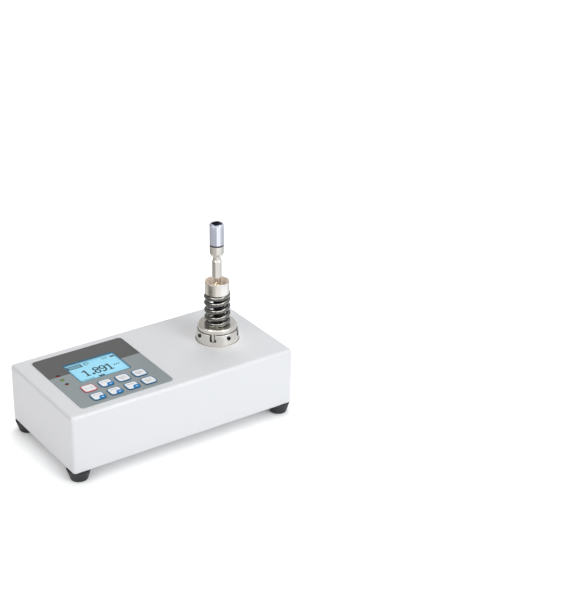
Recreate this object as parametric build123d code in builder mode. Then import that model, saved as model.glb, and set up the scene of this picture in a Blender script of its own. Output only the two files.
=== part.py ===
"""Bench torque tester: a folded steel housing with a display panel, a slotted torque ring and
a spring joint in it that stands in for a screwed joint, turned by a bit with a square drive.

The origin is the middle of the footprint on the bench. +X runs along the housing towards the
torque ring, +Y to the rear with its sockets, and +Z up. Lengths are in millimetres.
"""

import os
from math import cos, radians, sin, sqrt, tan

from build123d import *

os.makedirs("parts", exist_ok=True)

# Housing: one folded and welded sheet, open below, with lips folded in along its long sides
housing_length = 185.0
housing_width = 95.0
housing_height = 45.0
sheet = 1.5
corner_radius = 3.0
bend_radius = 2.5
hem_radius = 1.3
lip_width = 14.0
base_thickness = 1.5
base_clearance = 0.6

# Rubber feet with a sunk screw and a nut
foot_height = 8.5
foot_top_radius = 8.8
foot_bottom_radius = 6.4
foot_inset = 7.6
foot_edge = 1.0
foot_recess_depth = 4.8
foot_screw_radius = 2.0
foot_head_radius = 3.5
foot_head_height = 2.6
foot_screw_end = 0.8
hole_clearance = 0.25
nut_flats = 7.0
nut_height = 3.2

# Front foil with its window, keys and lamps
foil_left = 13.0
foil_front = 8.5
foil_length = 74.0
foil_width = 78.0
foil_thickness = 0.6
foil_corner = 2.8
window_left = 16.5
window_front = 31.9
window_right = 16.2
window_width = 29.5
window_border = 1.0
window_corner = 0.8
window_clearance = 0.1
key_length = 10.2
key_width = 9.8
key_corner = 2.5
key_edge = 0.15
key_pitch_y = 13.4
key_left = 17.2
key_right = 15.9
key_front = 8.5
key_proud = 0.5
key_travel = 0.4
key_clearance = 0.3
key_stop = 0.1
stem_radius = 2.2
stem_tip_radius = 1.5
stem_tip_entry = 0.6
lamp_left = 7.2
lamp_front = 36.1
lamp_pitch = 6.9
lamp_radius = 1.5
lamp_flange = 0.4
lamp_flange_height = 0.8
lamp_clearance = 0.15
lamp_proud = 0.3
lamp_length = 7.5
lead_radius = 0.25
lead_pitch = 2.0

# Keypad board, hung from the top sheet on four pillars
board_thickness = 1.6
board_margin = 1.5
keypad_drop = 8.5
pillar_radius = 2.6
pillar_inset = 5.0
switch_side = 6.0
switch_height = 3.5
switch_clearance = 0.4
display_margin = 2.2
display_glass_clearance = 0.3
display_glass_gap = 0.1
small_screw_radius = 1.25
small_head_radius = 2.4
small_head_height = 1.8
small_screw_grip = 5.0
thread_clearance = 0.05

# Main board on four posts
main_board_front = 27.0
main_board_lift = 6.0
main_board_gap = 4.0
main_board_wall = 0.3
post_radius = 2.8
post_inset = 4.5
chip_height = 1.6
chip_sizes = [(14.0, 14.0), (10.0, 7.0), (8.0, 5.0)]
chip_places = [(0.3, 0.35), (0.58, 0.45), (0.75, 0.3)]

# Battery of four cells under a strap
cell_radius = 5.25
cell_length = 44.5
cell_wrap = 0.3
battery_gap = 2.0
strap_thickness = 1.0
strap_width = 16.0
strap_foot = 9.0
strap_clearance = 0.3

# Sockets in the rear wall, standing on the main board
socket_clearance = 0.3
jack_offset = 13.0
jack_width = 9.0
jack_height = 11.0
jack_depth = 14.0
jack_collar_radius = 4.0
jack_bore_radius = 3.15
jack_pin_radius = 1.05
jack_bore_depth = 10.0
data_offset = 15.5
data_width = 12.0
data_height = 10.8
data_depth = 16.0
data_mouth_width = 8.45
data_mouth_height = 7.8
data_mouth_depth = 9.0
data_tongue_width = 5.6
data_tongue_height = 3.2
serial_offset = 24.5
serial_length = 30.8
serial_height = 12.5
serial_flange = 0.8
serial_shell_length = 18.4
serial_shell_height = 9.6
serial_shell_slope = 80.0
serial_shell_corner = 2.2
serial_shell_wall = 0.5
serial_body_depth = 9.0
serial_pin_radius = 0.5
serial_pin_depth = 5.0
serial_pin_pitch = 2.77
serial_row_pitch = 2.84
serial_nut_pitch = 24.99
serial_nut_radius = 1.2

# Torque sensor under the ring, on its own thick plate
column_inset = 36.3
plate_side = 52.0
plate_corner = 4.0
plate_thickness = 3.0
plate_screw_inset = 5.5
plate_head_height = 1.5
sensor_flange_radius = 21.0
sensor_flange_height = 5.0
sensor_tube_radius = 11.0
sensor_tube_bore = 8.5
sensor_hub_radius = 14.8
sensor_hub_height = 5.0
sensor_fillet = 1.5
sensor_edge = 0.1
sensor_head_height = 4.0
sensor_screw_circle = 17.0

# Slotted ring on the sensor, standing out of the top sheet
ring_radius = 16.1
ring_top_radius = 15.4
ring_gap = 0.5
ring_height = 8.6
ring_sink = 6.0
ring_bore = 7.0
ring_seat_radius = 13.9
ring_seat_height = 3.0
ring_edge = 0.4
slot_width = 4.8
slot_floor = 0.4
slot_turn = 45.0
set_screw_radius = 1.5
set_screw_height = 5.6
set_screw_gap = 0.05
set_screw_proud = 0.2
set_screw_key = 1.6
set_screw_key_depth = 1.2
ring_screw_circle = 10.4
ring_screw_radius = 1.5
ring_head_radius = 2.6
ring_head_height = 2.8
ring_screw_grip = 4.5

# Spring joint that stands in the ring: flange, spring and cup
flange_radius = 14.7
flange_clearance = 0.3
flange_gap = 0.6
flange_thickness = 3.3
flange_edge = 0.8
lug_width = 1.5
lug_reach = 15.2
spigot_height = 3.0
spigot_clearance = 0.5
spring_radius = 9.9
spring_wire = 3.6
spring_length = 25.3
spring_low_turns = 0.6
spring_open_turns = 3.1
spring_high_turns = 0.95
spring_closed_pitch = 3.7
spring_ground = 1.1
spring_start = 158.0
cup_radius = 9.2
cup_wall = 1.0
cup_height = 9.15
cup_floor = 1.5
cup_edge = 0.2

# Drive screw of the joint, with a cross recess in its head
drive_screw_radius = 3.0
drive_screw_gap = 0.4
drive_screw_reach = 8.5
drive_screw_edge = 0.5
drive_head_radius = 5.0
drive_head_height = 3.9
drive_head_edge = 0.6
drive_head_gap = 0.1
recess_depth = 2.8
recess_clearance = 0.15

# Cross-tipped hexagon bit
tip_depth = 2.5
tip_length = 9.8
tip_radius = 3.0
tip_end_radius = 1.2
tip_cone = 4.2
tip_wing = 1.0
tip_slope = 8.8
bit_flats = 6.35
bit_turn = 40.0
bit_hex_length = 13.9
bit_chamfer = 1.1
bit_edge = 0.5
groove_length = 3.1
groove_radius = 2.95
bit_grip = 10.9
bit_clearance = 0.05

# Bit holder, its black collar and the sleeve with the square drive
holder_radius = 5.3
nose_radius = 4.15
nose_cone = 2.4
nose_length = 8.2
holder_stem_radius = 4.35
holder_stem_length = 7.0
collar_thickness = 1.2
collar_radius = 5.1
sleeve_length = 16.0
sleeve_edge = 0.5
square_side = 6.35
square_clearance = 0.05
square_depth = 7.5

# Levels, from the bench up
floor_z = foot_height
base_z = floor_z + sheet
deck_z = base_z + base_thickness
top_z = foot_height + housing_height
roof_z = top_z - sheet
foil_z = top_z + foil_thickness
keypad_z = roof_z - keypad_drop
switch_z = keypad_z + switch_height
main_board_z = deck_z + main_board_lift
socket_z = main_board_z + board_thickness
plate_z = deck_z + plate_thickness
hub_z = top_z - ring_sink
seat_z = top_z + ring_seat_height
ring_z = top_z + ring_height
lip_z = ring_z + flange_gap
flange_z = lip_z + flange_thickness
cup_z = flange_z + spring_length
head_z = cup_z + cup_floor + drive_head_gap
head_top_z = head_z + drive_head_height
tip_z = head_top_z - tip_depth
hex_z = tip_z + tip_length
groove_z = hex_z + bit_hex_length
nose_z = groove_z + groove_length
collar_z = nose_z + nose_length
sleeve_z = collar_z + collar_thickness
drive_z = sleeve_z + sleeve_length

# Places across the housing
left_x = -housing_length / 2
front_y = -housing_width / 2
rear_y = housing_width / 2
inner_length = housing_length - 2 * sheet
inner_width = housing_width - 2 * sheet
window_length = foil_length - window_left - window_right
key_pitch_x = (foil_length - key_left - key_right) / 3
foil_x = left_x + foil_left + foil_length / 2
foil_y = front_y + foil_front + foil_width / 2
window_x = left_x + foil_left + window_left + window_length / 2
window_y = front_y + foil_front + window_front + window_width / 2
view_length = window_length - 2 * window_border
view_width = window_width - 2 * window_border
column_x = housing_length / 2 - column_inset
battery_side = 4 * cell_radius + 2 * cell_wrap
battery_x = column_x - plate_side / 2 - battery_gap - battery_side / 2
board_left = left_x + foot_inset + nut_flats
board_right = battery_x - battery_side / 2 - main_board_gap
board_rear = rear_y - sheet - main_board_wall
board_front = front_y + main_board_front
board_length = board_right - board_left
board_width = board_rear - board_front
board_x = (board_left + board_right) / 2
board_y = (board_front + board_rear) / 2
jack_x = board_left + jack_offset
data_x = jack_x + data_offset
serial_x = data_x + serial_offset


def corner_places(length, width, x=0.0, y=0.0):
    """The four corners of a rectangle about (x, y)."""
    return [(x + i * length / 2, y + j * width / 2) for j in (-1, 1) for i in (-1, 1)]


def column_places(radius, turn=0.0):
    """Four points round the column, a quarter turn apart."""
    turns = [radians(turn + 90 * i) for i in range(4)]
    return [(column_x + radius * cos(a), radius * sin(a)) for a in turns]


def section(x=column_x, y=0.0):
    """The upright plane through (x, y) in which a turned piece is drawn, radius then height."""
    return Plane(origin=(x, y, 0), x_dir=(1, 0, 0), z_dir=(0, -1, 0))


def set_screw_plane(x, y):
    """The upright plane through the column at the set screws' height that faces towards (x, y)."""
    return Plane(origin=(column_x, 0, top_z + set_screw_height), x_dir=(0, 0, 1), z_dir=(x, y, 0))


def upright(x=column_x, y=0.0):
    """The vertical axis through (x, y)."""
    return Axis((x, y, 0), (0, 0, 1))


foot_places = corner_places(housing_length - 2 * foot_inset, housing_width - 2 * foot_inset)
foot_names = ["foot_front_left", "foot_front_right", "foot_rear_left", "foot_rear_right"]
key_names = [f"key_front_{i}" for i in range(1, 5)] + ["key_power"]
key_names += [f"key_rear_{i}" for i in range(2, 5)]
key_places = [
    (
        left_x + foil_left + key_left + i * key_pitch_x,
        front_y + foil_front + key_front + j * key_pitch_y,
    )
    for j in range(2)
    for i in range(4)
]
lamp_names = ["lamp_orange", "lamp_green", "lamp_red"]
lamp_places = [
    (left_x + foil_left + lamp_left, front_y + foil_front + lamp_front + i * lamp_pitch)
    for i in range(3)
]
pillar_places = corner_places(
    foil_length - 2 * pillar_inset, foil_width - 2 * pillar_inset, foil_x, foil_y
)
post_places = corner_places(
    board_length - 2 * post_inset, board_width - 2 * post_inset, board_x, board_y
)
strap_places = [
    (battery_x, j * (cell_length / 2 + strap_clearance + strap_thickness + strap_foot / 2))
    for j in (-1, 1)
]
plate_places = corner_places(
    plate_side - 2 * plate_screw_inset, plate_side - 2 * plate_screw_inset, column_x, 0
)

# The rear wall's outer face, with X running the other way, and its inner face
rear_face = Plane(origin=(0, rear_y, 0), x_dir=(-1, 0, 0), z_dir=(0, 1, 0))
rear_inside = rear_face.offset(-sheet)
jack_centre = (-jack_x, socket_z + jack_height / 2)
data_centre = (-data_x, socket_z + data_height / 2)
serial_centre = (-serial_x, socket_z + serial_height / 2)
serial_nuts = [(serial_centre[0] + i * serial_nut_pitch / 2, serial_centre[1]) for i in (-1, 1)]

# Housing cover: top and walls in one sheet, with its cut-outs
with BuildPart() as cover_hollow:
    with BuildSketch(Plane.XY.offset(base_z)):
        RectangleRounded(inner_length, inner_width, corner_radius - sheet)
    extrude(amount=roof_z - base_z)
    fillet(cover_hollow.faces().sort_by(Axis.Z)[-1].edges(), bend_radius - sheet)

with BuildPart() as housing_cover:
    with BuildSketch(Plane.XY.offset(floor_z)):
        RectangleRounded(housing_length, housing_width, corner_radius)
    extrude(amount=housing_height)
    fillet(housing_cover.faces().sort_by(Axis.Z)[-1].edges(), bend_radius)
    fillet(housing_cover.faces().sort_by(Axis.Z)[0].edges(), hem_radius)
    add(cover_hollow.part, mode=Mode.SUBTRACT)
    with BuildSketch(Plane.XY.offset(floor_z)):
        Rectangle(inner_length - 2 * (corner_radius - sheet), housing_width - 2 * lip_width)
        with Locations(*foot_places):
            Circle(foot_screw_radius + hole_clearance)
    extrude(amount=sheet, mode=Mode.SUBTRACT)
    with BuildSketch(Plane.XY.offset(roof_z)):
        with Locations(*key_places):
            Circle(stem_radius + key_clearance)
        with Locations(*lamp_places):
            Circle(lamp_radius + lamp_clearance)
        with Locations((window_x, window_y)):
            Rectangle(view_length, view_width)
        with Locations((column_x, 0)):
            Circle(ring_radius + ring_gap)
    extrude(amount=sheet, mode=Mode.SUBTRACT)
    with BuildSketch(rear_face):
        with Locations(jack_centre):
            Circle(jack_collar_radius + socket_clearance)
        with Locations(data_centre):
            Rectangle(data_width + 2 * socket_clearance, data_height + 2 * socket_clearance)
        with Locations(serial_centre):
            RectangleRounded(
                serial_shell_length + 2 * socket_clearance,
                serial_shell_height + 2 * socket_clearance,
                serial_shell_corner + socket_clearance,
            )
        with Locations(*serial_nuts):
            Circle(serial_nut_radius + socket_clearance)
    extrude(amount=-sheet, mode=Mode.SUBTRACT)
housing_cover.part.label = "housing_cover"
export_step(housing_cover.part, "parts/housing_cover.step")

# Base plate: lies on the lips inside the cover and carries the sensor and the boards
with BuildPart() as base_plate:
    with BuildSketch(Plane.XY.offset(base_z)):
        RectangleRounded(
            inner_length - 2 * base_clearance, inner_width - 2 * base_clearance, corner_radius
        )
        with Locations(*foot_places):
            Circle(foot_screw_radius + hole_clearance, mode=Mode.SUBTRACT)
        with Locations(*plate_places):
            Circle(foot_screw_radius + hole_clearance, mode=Mode.SUBTRACT)
        with Locations(*strap_places):
            Circle(small_screw_radius + thread_clearance, mode=Mode.SUBTRACT)
    extrude(amount=base_thickness)
base_plate.part.label = "base_plate"
export_step(base_plate.part, "parts/base_plate.step")

# Feet: rubber cones, hollow below for the screw's head
for name, (x, y) in zip(foot_names, foot_places):
    with BuildPart() as foot:
        with BuildSketch(section(x, y)) as foot_section:
            Polygon(
                (foot_screw_radius + hole_clearance, foot_height),
                (foot_screw_radius + hole_clearance, foot_recess_depth),
                (foot_head_radius + 2 * hole_clearance, foot_recess_depth),
                (foot_head_radius + 2 * hole_clearance, 0),
                (foot_bottom_radius, 0),
                (foot_top_radius, foot_height),
                align=None,
            )
            low_rim = foot_section.vertices().group_by(Axis.Y)[0].sort_by(Axis.X)[-1]
            fillet(low_rim, foot_edge)
        revolve(axis=upright(x, y))
    foot.part.label = name
    export_step(foot.part, f"parts/{name}.step")

# Screws and nuts of the feet
with BuildPart() as foot_screws:
    with BuildSketch(Plane.XY.offset(foot_recess_depth)):
        with Locations(*foot_places):
            Circle(foot_head_radius)
    extrude(amount=-foot_head_height)
    with BuildSketch(Plane.XY.offset(foot_recess_depth)):
        with Locations(*foot_places):
            Circle(foot_screw_radius)
    extrude(amount=deck_z + nut_height + foot_screw_end - foot_recess_depth)
foot_screws.part.label = "foot_screws"
export_step(foot_screws.part, "parts/foot_screws.step")

with BuildPart() as foot_nuts:
    with BuildSketch(Plane.XY.offset(deck_z)):
        with Locations(*foot_places):
            RegularPolygon(nut_flats / 2, 6, major_radius=False)
            Circle(foot_screw_radius + thread_clearance, mode=Mode.SUBTRACT)
    extrude(amount=nut_height)
foot_nuts.part.label = "foot_nuts"
export_step(foot_nuts.part, "parts/foot_nuts.step")

# Front foil on the top sheet, with room for the window, the keys and the lamps
with BuildPart() as front_foil:
    with BuildSketch(Plane.XY.offset(top_z)):
        with Locations((foil_x, foil_y)):
            RectangleRounded(foil_length, foil_width, foil_corner)
        with Locations(*key_places):
            RectangleRounded(
                key_length + 2 * key_clearance,
                key_width + 2 * key_clearance,
                key_corner + key_clearance,
                mode=Mode.SUBTRACT,
            )
        with Locations(*lamp_places):
            Circle(lamp_radius + lamp_clearance, mode=Mode.SUBTRACT)
        with Locations((window_x, window_y)):
            RectangleRounded(window_length, window_width, window_corner, mode=Mode.SUBTRACT)
    extrude(amount=foil_thickness)
front_foil.part.label = "front_foil"
export_step(front_foil.part, "parts/front_foil.step")

with BuildPart() as display_window:
    with BuildSketch(Plane.XY.offset(top_z)):
        with Locations((window_x, window_y)):
            RectangleRounded(
                window_length - 2 * window_clearance,
                window_width - 2 * window_clearance,
                window_corner,
            )
    extrude(amount=foil_thickness)
display_window.part.label = "display_window"
export_step(display_window.part, "parts/display_window.step")

# Keys: a cap in the foil and a stem whose tip works the switch below it
cap_z = top_z + key_travel + key_stop
for name, (x, y) in zip(key_names, key_places):
    with BuildPart() as key:
        with BuildSketch(Plane.XY.offset(cap_z)):
            with Locations((x, y)):
                RectangleRounded(key_length, key_width, key_corner)
        extrude(amount=foil_z + key_proud - cap_z)
        chamfer(key.faces().sort_by(Axis.Z)[-1].edges(), key_edge)
        with BuildSketch(Plane.XY.offset(cap_z)):
            with Locations((x, y)):
                Circle(stem_radius)
        extrude(amount=switch_z + key_travel + key_stop - cap_z)
        with BuildSketch(Plane.XY.offset(cap_z)):
            with Locations((x, y)):
                Circle(stem_tip_radius)
        extrude(amount=switch_z - stem_tip_entry - cap_z)
    key.part.label = name
    export_step(key.part, f"parts/{name}.step")

with BuildPart() as key_switches:
    with BuildSketch(Plane.XY.offset(keypad_z)):
        with Locations(*key_places):
            Rectangle(switch_side, switch_side)
    extrude(amount=switch_height)
    with BuildSketch(Plane.XY.offset(switch_z)):
        with Locations(*key_places):
            Circle(stem_tip_radius + switch_clearance)
    extrude(amount=-(stem_tip_entry + key_travel + switch_clearance), mode=Mode.SUBTRACT)
key_switches.part.label = "key_switches"
export_step(key_switches.part, "parts/key_switches.step")

# Signal lamps: domed bodies with a flange, on two leads that stand on the keypad board
lamp_top_z = foil_z + lamp_proud
lamp_base_z = lamp_top_z - lamp_length
for name, (x, y) in zip(lamp_names, lamp_places):
    with BuildPart() as lamp:
        with BuildSketch(section(x, y)):
            with BuildLine():
                Polyline(
                    (lamp_radius, top_z),
                    (lamp_radius, lamp_base_z + lamp_flange_height),
                    (lamp_radius + lamp_flange, lamp_base_z + lamp_flange_height),
                    (lamp_radius + lamp_flange, lamp_base_z),
                    (0, lamp_base_z),
                    (0, lamp_top_z),
                )
                TangentArc((0, lamp_top_z), (lamp_radius, top_z), tangent=(1, 0))
            make_face()
        revolve(axis=upright(x, y))
        with BuildSketch(Plane.XY.offset(keypad_z)):
            with Locations((x - lead_pitch / 2, y), (x + lead_pitch / 2, y)):
                Circle(lead_radius)
        extrude(amount=lamp_base_z - keypad_z)
    lamp.part.label = name
    export_step(lamp.part, f"parts/{name}.step")

# Keypad board, its pillars and screws
with BuildPart() as board_pillars:
    with BuildSketch(Plane.XY.offset(keypad_z)):
        with Locations(*pillar_places):
            Circle(pillar_radius)
    extrude(amount=keypad_drop)
    with BuildSketch(Plane.XY.offset(keypad_z)):
        with Locations(*pillar_places):
            Circle(small_screw_radius + thread_clearance)
    extrude(amount=small_screw_grip + small_screw_radius, mode=Mode.SUBTRACT)
board_pillars.part.label = "board_pillars"
export_step(board_pillars.part, "parts/board_pillars.step")

with BuildPart() as keypad_board:
    with BuildSketch(Plane.XY.offset(keypad_z)):
        with Locations((foil_x, foil_y)):
            Rectangle(foil_length - 2 * board_margin, foil_width - 2 * board_margin)
        with Locations(*pillar_places):
            Circle(small_screw_radius + thread_clearance, mode=Mode.SUBTRACT)
    extrude(amount=-board_thickness)
keypad_board.part.label = "keypad_board"
export_step(keypad_board.part, "parts/keypad_board.step")

with BuildPart() as keypad_screws:
    with BuildSketch(Plane.XY.offset(keypad_z - board_thickness)):
        with Locations(*pillar_places):
            Circle(small_head_radius)
    extrude(amount=-small_head_height)
    with BuildSketch(Plane.XY.offset(keypad_z - board_thickness)):
        with Locations(*pillar_places):
            Circle(small_screw_radius)
    extrude(amount=board_thickness + small_screw_grip)
keypad_screws.part.label = "keypad_screws"
export_step(keypad_screws.part, "parts/keypad_screws.step")

# Display module: a case on the keypad board, and its glass up in the opening of the top sheet
with BuildPart() as display_module:
    with BuildSketch(Plane.XY.offset(keypad_z)):
        with Locations((window_x, window_y)):
            Rectangle(view_length + 2 * display_margin, view_width + 2 * display_margin)
    extrude(amount=keypad_drop)
    with BuildSketch(Plane.XY.offset(keypad_z)):
        with Locations((window_x, window_y)):
            Rectangle(
                view_length - 2 * display_glass_clearance,
                view_width - 2 * display_glass_clearance,
            )
    extrude(amount=top_z - display_glass_gap - keypad_z)
display_module.part.label = "display_module"
export_step(display_module.part, "parts/display_module.step")

# Main board with its chips, on four posts
with BuildPart() as board_posts:
    with BuildSketch(Plane.XY.offset(deck_z)):
        with Locations(*post_places):
            Circle(post_radius)
            Circle(small_screw_radius + thread_clearance, mode=Mode.SUBTRACT)
    extrude(amount=main_board_lift)
board_posts.part.label = "board_posts"
export_step(board_posts.part, "parts/board_posts.step")

with BuildPart() as main_board:
    with BuildSketch(Plane.XY.offset(main_board_z)):
        with Locations((board_x, board_y)):
            Rectangle(board_length, board_width)
        with Locations(*post_places):
            Circle(small_screw_radius + thread_clearance, mode=Mode.SUBTRACT)
    extrude(amount=board_thickness)
    with BuildSketch(Plane.XY.offset(socket_z)):
        for (length, width), (along, across) in zip(chip_sizes, chip_places):
            with Locations((board_left + along * board_length, board_front + across * board_width)):
                Rectangle(length, width)
    extrude(amount=chip_height)
main_board.part.label = "main_board"
export_step(main_board.part, "parts/main_board.step")

with BuildPart() as main_board_screws:
    with BuildSketch(Plane.XY.offset(socket_z)):
        with Locations(*post_places):
            Circle(small_head_radius)
    extrude(amount=small_head_height)
    with BuildSketch(Plane.XY.offset(socket_z)):
        with Locations(*post_places):
            Circle(small_screw_radius)
    extrude(amount=-(board_thickness + small_screw_grip))
main_board_screws.part.label = "main_board_screws"
export_step(main_board_screws.part, "parts/main_board_screws.step")

# Battery of four wrapped cells, its strap and the strap's screws
with BuildPart() as battery_pack:
    with BuildSketch(Plane.XZ.offset(-cell_length / 2)):
        with Locations((battery_x, deck_z + battery_side / 2)):
            RectangleRounded(battery_side, battery_side, cell_radius + cell_wrap)
    extrude(amount=cell_length)
battery_pack.part.label = "battery_pack"
export_step(battery_pack.part, "parts/battery_pack.step")

strap_inside = cell_length / 2 + strap_clearance
strap_top = deck_z + battery_side + strap_clearance
with BuildPart() as battery_strap:
    with BuildSketch(Plane.YZ.offset(battery_x - strap_width / 2)):
        with BuildLine() as strap_line:
            Polyline(
                (-strap_inside - strap_thickness - strap_foot, deck_z + strap_thickness / 2),
                (-strap_inside - strap_thickness / 2, deck_z + strap_thickness / 2),
                (-strap_inside - strap_thickness / 2, strap_top + strap_thickness / 2),
                (strap_inside + strap_thickness / 2, strap_top + strap_thickness / 2),
                (strap_inside + strap_thickness / 2, deck_z + strap_thickness / 2),
                (strap_inside + strap_thickness + strap_foot, deck_z + strap_thickness / 2),
            )
            offset(amount=strap_thickness / 2, kind=Kind.INTERSECTION)
        make_face()
    extrude(amount=strap_width)
    with BuildSketch(Plane.XY.offset(deck_z)):
        with Locations(*strap_places):
            Circle(small_screw_radius + hole_clearance)
    extrude(amount=strap_thickness, mode=Mode.SUBTRACT)
battery_strap.part.label = "battery_strap"
export_step(battery_strap.part, "parts/battery_strap.step")

with BuildPart() as strap_screws:
    with BuildSketch(Plane.XY.offset(deck_z + strap_thickness)):
        with Locations(*strap_places):
            Circle(small_head_radius)
    extrude(amount=small_head_height)
    with BuildSketch(Plane.XY.offset(deck_z + strap_thickness)):
        with Locations(*strap_places):
            Circle(small_screw_radius)
    extrude(amount=-(strap_thickness + base_thickness))
strap_screws.part.label = "strap_screws"
export_step(strap_screws.part, "parts/strap_screws.step")

# Power socket: a block with a round collar through the wall, a bore and a pin
with BuildPart() as power_socket:
    with BuildSketch(rear_inside):
        with Locations(jack_centre):
            Rectangle(jack_width, jack_height)
    extrude(amount=-jack_depth)
    with BuildSketch(rear_face):
        with Locations(jack_centre):
            Circle(jack_collar_radius)
    extrude(amount=-sheet)
    with BuildSketch(rear_face):
        with Locations(jack_centre):
            Circle(jack_bore_radius)
            Circle(jack_pin_radius, mode=Mode.SUBTRACT)
    extrude(amount=-jack_bore_depth, mode=Mode.SUBTRACT)
power_socket.part.label = "power_socket"
export_step(power_socket.part, "parts/power_socket.step")

# Square data socket: a shell with a tongue in its mouth
with BuildPart() as data_socket:
    with BuildSketch(rear_face):
        with Locations(data_centre):
            Rectangle(data_width, data_height)
    extrude(amount=-data_depth)
    with BuildSketch(rear_face):
        with Locations(data_centre):
            Rectangle(data_mouth_width, data_mouth_height)
            Rectangle(data_tongue_width, data_tongue_height, mode=Mode.SUBTRACT)
    extrude(amount=-data_mouth_depth, mode=Mode.SUBTRACT)
data_socket.part.label = "data_socket"
export_step(data_socket.part, "parts/data_socket.step")

# Serial socket: a flanged metal shell round a block with nine contact holes
with BuildPart() as serial_shell:
    with BuildSketch(rear_inside):
        with Locations(serial_centre):
            Rectangle(serial_length, serial_height)
    extrude(amount=-serial_flange)
    with BuildSketch(rear_face) as serial_outline:
        with Locations(serial_centre):
            Trapezoid(serial_shell_length, serial_shell_height, serial_shell_slope, rotation=180)
        fillet(serial_outline.vertices(), serial_shell_corner)
    extrude(amount=-sheet)
    with BuildSketch(rear_face):
        add(serial_outline.sketch_local)
        offset(amount=-serial_shell_wall, mode=Mode.REPLACE)
    extrude(amount=-(sheet + serial_flange), mode=Mode.SUBTRACT)
    with BuildSketch(rear_inside):
        with Locations(*serial_nuts):
            Circle(serial_nut_radius)
    extrude(amount=-serial_flange, mode=Mode.SUBTRACT)
serial_shell.part.label = "serial_shell"
export_step(serial_shell.part, "parts/serial_shell.step")

with BuildPart() as serial_insert:
    with BuildSketch(rear_face):
        add(serial_outline.sketch_local)
        offset(amount=-serial_shell_wall, mode=Mode.REPLACE)
    extrude(amount=-(sheet + serial_flange + serial_body_depth))
    contact_x, contact_y = serial_centre
    with BuildSketch(rear_face):
        with Locations((contact_x, contact_y + serial_row_pitch / 2)):
            with GridLocations(serial_pin_pitch, serial_row_pitch, 5, 1):
                Circle(serial_pin_radius)
        with Locations((contact_x, contact_y - serial_row_pitch / 2)):
            with GridLocations(serial_pin_pitch, serial_row_pitch, 4, 1):
                Circle(serial_pin_radius)
    extrude(amount=-serial_pin_depth, mode=Mode.SUBTRACT)
serial_insert.part.label = "serial_insert"
export_step(serial_insert.part, "parts/serial_insert.step")

# Sensor plate on the base plate, with its screws from below
with BuildPart() as sensor_plate:
    with BuildSketch(Plane.XY.offset(deck_z)):
        with Locations((column_x, 0)):
            RectangleRounded(plate_side, plate_side, plate_corner)
        with Locations(*plate_places):
            Circle(foot_screw_radius + thread_clearance, mode=Mode.SUBTRACT)
        with Locations(*column_places(sensor_screw_circle, slot_turn)):
            Circle(foot_screw_radius + thread_clearance, mode=Mode.SUBTRACT)
    extrude(amount=plate_thickness)
sensor_plate.part.label = "sensor_plate"
export_step(sensor_plate.part, "parts/sensor_plate.step")

with BuildPart() as plate_screws:
    with BuildSketch(Plane.XY.offset(base_z)):
        with Locations(*plate_places):
            Circle(foot_head_radius)
    extrude(amount=-plate_head_height)
    with BuildSketch(Plane.XY.offset(base_z)):
        with Locations(*plate_places):
            Circle(foot_screw_radius)
    extrude(amount=base_thickness + plate_thickness)
plate_screws.part.label = "plate_screws"
export_step(plate_screws.part, "parts/plate_screws.step")

# Torque sensor: a flange, a thin measuring tube and a hub, turned in one piece
with BuildPart() as torque_sensor:
    with BuildSketch(section()) as sensor_section:
        Polygon(
            (sensor_tube_bore, plate_z),
            (sensor_flange_radius, plate_z),
            (sensor_flange_radius, plate_z + sensor_flange_height),
            (sensor_tube_radius, plate_z + sensor_flange_height),
            (sensor_tube_radius, hub_z - sensor_hub_height),
            (sensor_hub_radius, hub_z - sensor_hub_height),
            (sensor_hub_radius, hub_z),
            (sensor_tube_bore, hub_z),
            align=None,
        )
        tube_corners = sensor_section.vertices().filter_by_position(
            Axis.X, sensor_tube_radius - sensor_edge, sensor_tube_radius + sensor_edge
        )
        fillet(tube_corners, sensor_fillet)
    revolve(axis=upright())
    with BuildSketch(Plane.XY.offset(plate_z)):
        with Locations(*column_places(sensor_screw_circle, slot_turn)):
            Circle(foot_screw_radius + hole_clearance)
    extrude(amount=sensor_flange_height, mode=Mode.SUBTRACT)
    with BuildSketch(Plane.XY.offset(hub_z)):
        with Locations(*column_places(ring_screw_circle)):
            Circle(ring_screw_radius + thread_clearance)
    extrude(amount=-sensor_hub_height, mode=Mode.SUBTRACT)
torque_sensor.part.label = "torque_sensor"
export_step(torque_sensor.part, "parts/torque_sensor.step")

with BuildPart() as sensor_screws:
    with BuildSketch(Plane.XY.offset(plate_z + sensor_flange_height)):
        with Locations(*column_places(sensor_screw_circle, slot_turn)):
            Circle(foot_head_radius)
    extrude(amount=sensor_head_height)
    with BuildSketch(Plane.XY.offset(plate_z + sensor_flange_height)):
        with Locations(*column_places(sensor_screw_circle, slot_turn)):
            Circle(foot_screw_radius)
    extrude(amount=-(sensor_flange_height + plate_thickness))
sensor_screws.part.label = "sensor_screws"
export_step(sensor_screws.part, "parts/sensor_screws.step")

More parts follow.
